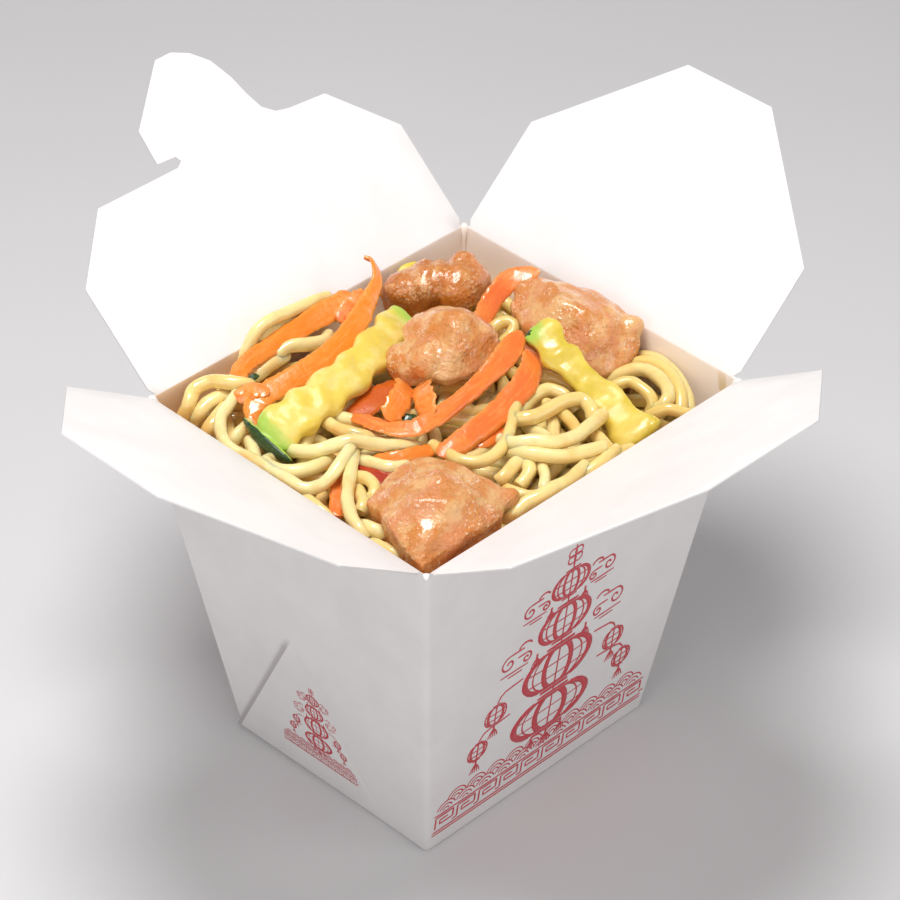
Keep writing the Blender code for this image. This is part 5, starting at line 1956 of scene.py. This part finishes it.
# %% The noodle tree
def build_noodle_tree():
    inputs = {"Geometry": "Geometry", "Paths": "Object", "Sides": 12, "Flatness": 0.9, "Unevenness": 0.0008,
              "Uneven length": 0.005, "Seed": 3, "Finish": "Material"}
    tree, given, out = new_group("noodles from paths", inputs, ["Geometry"], "Geometry", "GeometryNodeTree")
    paths = add(tree, "GeometryNodeObjectInfo", {"Object": given["Paths"]}).outputs["Geometry"]
    upright = add(tree, "GeometryNodeSetCurveNormal", {"Curve": paths}, mode="MINIMUM_TWIST")
    strand = add(tree, "GeometryNodeFieldOnDomain", {0: add(tree, "GeometryNodeInputIndex")},
                 domain="CURVE", data_type="INT")
    tint = add(tree, "FunctionNodeRandomValue", {"ID": strand, "Seed": given["Seed"]}, data_type="FLOAT")
    tinted = add(tree, "GeometryNodeStoreNamedAttribute",
                 {"Geometry": upright, "Name": "tint", "Value": tint.outputs[1]},
                 domain="POINT", data_type="FLOAT")
    circle = add(tree, "GeometryNodeCurvePrimitiveCircle",
                 {"Resolution": given["Sides"], "Radius": 1.0}, mode="RADIUS")
    squash = add(tree, "ShaderNodeCombineXYZ", {0: given["Flatness"], 1: 1.0, 2: 1.0})
    profile = add(tree, "GeometryNodeTransform", {"Geometry": circle, "Scale": squash})
    radius = add(tree, "GeometryNodeInputRadius")
    tube = add(tree, "GeometryNodeCurveToMesh",
               {"Curve": tinted, "Profile Curve": profile, "Scale": radius, "Fill Caps": True})
    place = add(tree, "GeometryNodeInputPosition")
    scale = math_node(tree, "DIVIDE", 1.0, given["Uneven length"])
    wave = noise_value(tree, place, scale, 2.0)
    push = times(tree, math_node(tree, "SUBTRACT", wave, 0.5), given["Unevenness"])
    outward = add(tree, "GeometryNodeInputNormal")
    shift = add(tree, "ShaderNodeVectorMath", {0: outward, "Scale": push}, operation="SCALE")
    uneven = add(tree, "GeometryNodeSetPosition", {"Geometry": tube, "Offset": shift})
    smooth = add(tree, "GeometryNodeSetShadeSmooth", {"Geometry": uneven})
    return finish_tree(tree, out, smooth, given["Finish"])


NOODLE_TREE = build_noodle_tree()
print("tree", NOODLE_TREE.name)


# %% Noodle finish
NOODLE_COLOURS = ((0.94, 0.70, 0.27), (0.96, 0.84, 0.45))
NOODLE_SAUCED = (0.86, 0.46, 0.085)
NOODLE_SAUCE_AND_SHADE = (0.78, 0.58, 0.17)  # sauce and painted shade: darker and warmer towards the right
NOODLE_GREEN = (0.82, 0.70, 0.27)


def build_noodle_finish():
    made, tree, shader, place = soft_finish("sauced_noodle", 0.6, (1.0, 0.75, 0.35), 1.8, 0.1)
    body = colour_mix(tree, attribute(tree, "tint"), *NOODLE_COLOURS)
    body = layered(tree, place, body, (NOODLE_SAUCED, 11, (0.48, 0.68), 0.5),
                   (NOODLE_GREEN, 16, (0.52, 0.7), 0.3, 0.4))
    # partly painted shade: the noodles darken and warm towards the right
    right_sauce_and_shade = ranged(tree, axes_of(tree, place)["X"], -0.012, 0.04, 0.0, 0.55)
    set_input(tree, shader, "Base Color", colour_mix(tree, right_sauce_and_shade, body, NOODLE_SAUCE_AND_SHADE))
    wet_film(tree, shader, place, 2.4, 0.1, (0.34, 0.16), (0.45, 0.9), (0.16, 0.35))
    return made


NOODLE_FINISH = build_noodle_finish()


# %% Make the noodles
def make_noodles(name, strands, sides, seed):
    paths = curve_of(strands, 0.86)
    values = {"Paths": paths, "Sides": sides, "Seed": seed, "Finish": NOODLE_FINISH}
    mesh = mesh_from_tree(NOODLE_TREE, values)
    bpy.data.objects.remove(paths)
    keep_piece(name, mesh, NOODLE_FINISH, "box", "noodle", "noodle_heap")
    print(name, len(strands), "strands,", sum(len(f.vertices) - 2 for f in mesh.polygons), "triangles")


middle_strand = len(random_strands) // 2
make_noodles("noodles_deep", random_strands[:middle_strand], 10, 5)
make_noodles("noodles_upper", random_strands[middle_strand:], 12, 8)
make_noodles("noodles_loose", loose_strands, 18, 13)

# %% [markdown]
# ## The core
#
# Below the strands, where no eye reaches, the heap is one closed solid. Its top follows the heap's surface
# well below the strands, in a deeper colour that paints in the shade down there, so that a gap between
# noodles looks dark and saucy.

# %% The core
# painted shade: the core is darker than the noodles, as shadowed noodles below would look
CORE_SHADE_COLOURS = ((0.66, 0.32, 0.045), (0.86, 0.55, 0.13))
CORE_COUNTS = (33, 29)
CORE_INSET = BOARD + 1.0
CORE_FLOOR = 1.5
CORE_FOOT = 2.0  # heights at which the core's floor and top are fitted into the walls
CORE_HEAD = 90.0
CORE_EASE = 6  # map cells round a point over which the heap's surface is averaged


def core_point(share, top):
    """A point of the core's top or floor, by its share of the way from the middle to each wall."""
    if not top:
        return (*share * half_size(CORE_FOOT, CORE_INSET), CORE_FLOOR)
    place = share * half_size(CORE_HEAD, CORE_INSET)
    column, row = (int(round((place[k] - axis[0]) / CELL)) for k, axis in enumerate((MAP_X, MAP_Y)))
    level = heap_top[column - CORE_EASE:column + CORE_EASE + 1, row - CORE_EASE:row + CORE_EASE + 1]
    z = level[level > HEAP_SIDE].mean() - CORE_DEPTH + 0.8 * noise.noise((*place / 5, 3))
    return (*share * half_size(z, CORE_INSET), z)


def make_core():
    bm = bmesh.new()
    last_x, last_y = (count - 1 for count in CORE_COUNTS)
    layers = []
    for top in (False, True):
        layer = {(i, j): bm.verts.new(core_point(np.array((2 * i / last_x - 1, 2 * j / last_y - 1)), top))
                 for i in range(last_x + 1) for j in range(last_y + 1)}
        layers.append(layer)
        for i in range(last_x):
            for j in range(last_y):
                bm.faces.new((layer[i, j], layer[i + 1, j], layer[i + 1, j + 1], layer[i, j + 1]))
    edge = [(i, 0) for i in range(last_x + 1)] + [(last_x, j) for j in range(1, last_y + 1)]
    edge += [(i, last_y) for i in range(last_x - 1, -1, -1)] + [(0, j) for j in range(last_y - 1, 0, -1)]
    bridge(bm, *([layer[k] for k in edge] for layer in layers))
    return mesh_from(bm, 50)


def build_core_finish():
    made, tree, shader, place = new_material("noodle_core", Roughness=0.5)
    mask = use_group(tree, PATCHES, {"Place": place, "Patch size": 0.004, "From": 0.3, "To": 0.7})["Mask"]
    set_input(tree, shader, "Base Color", colour_mix(tree, mask, *CORE_SHADE_COLOURS))
    film = use_group(tree, WET_FILM, {"Place": place, "Wrinkle size": 0.003})
    board_bump(tree, shader, film["Height"], 0.0008, 0.8)
    return made


keep_piece("noodle_core", make_core(), build_core_finish(), "box", "noodle")
print("core under the strands")
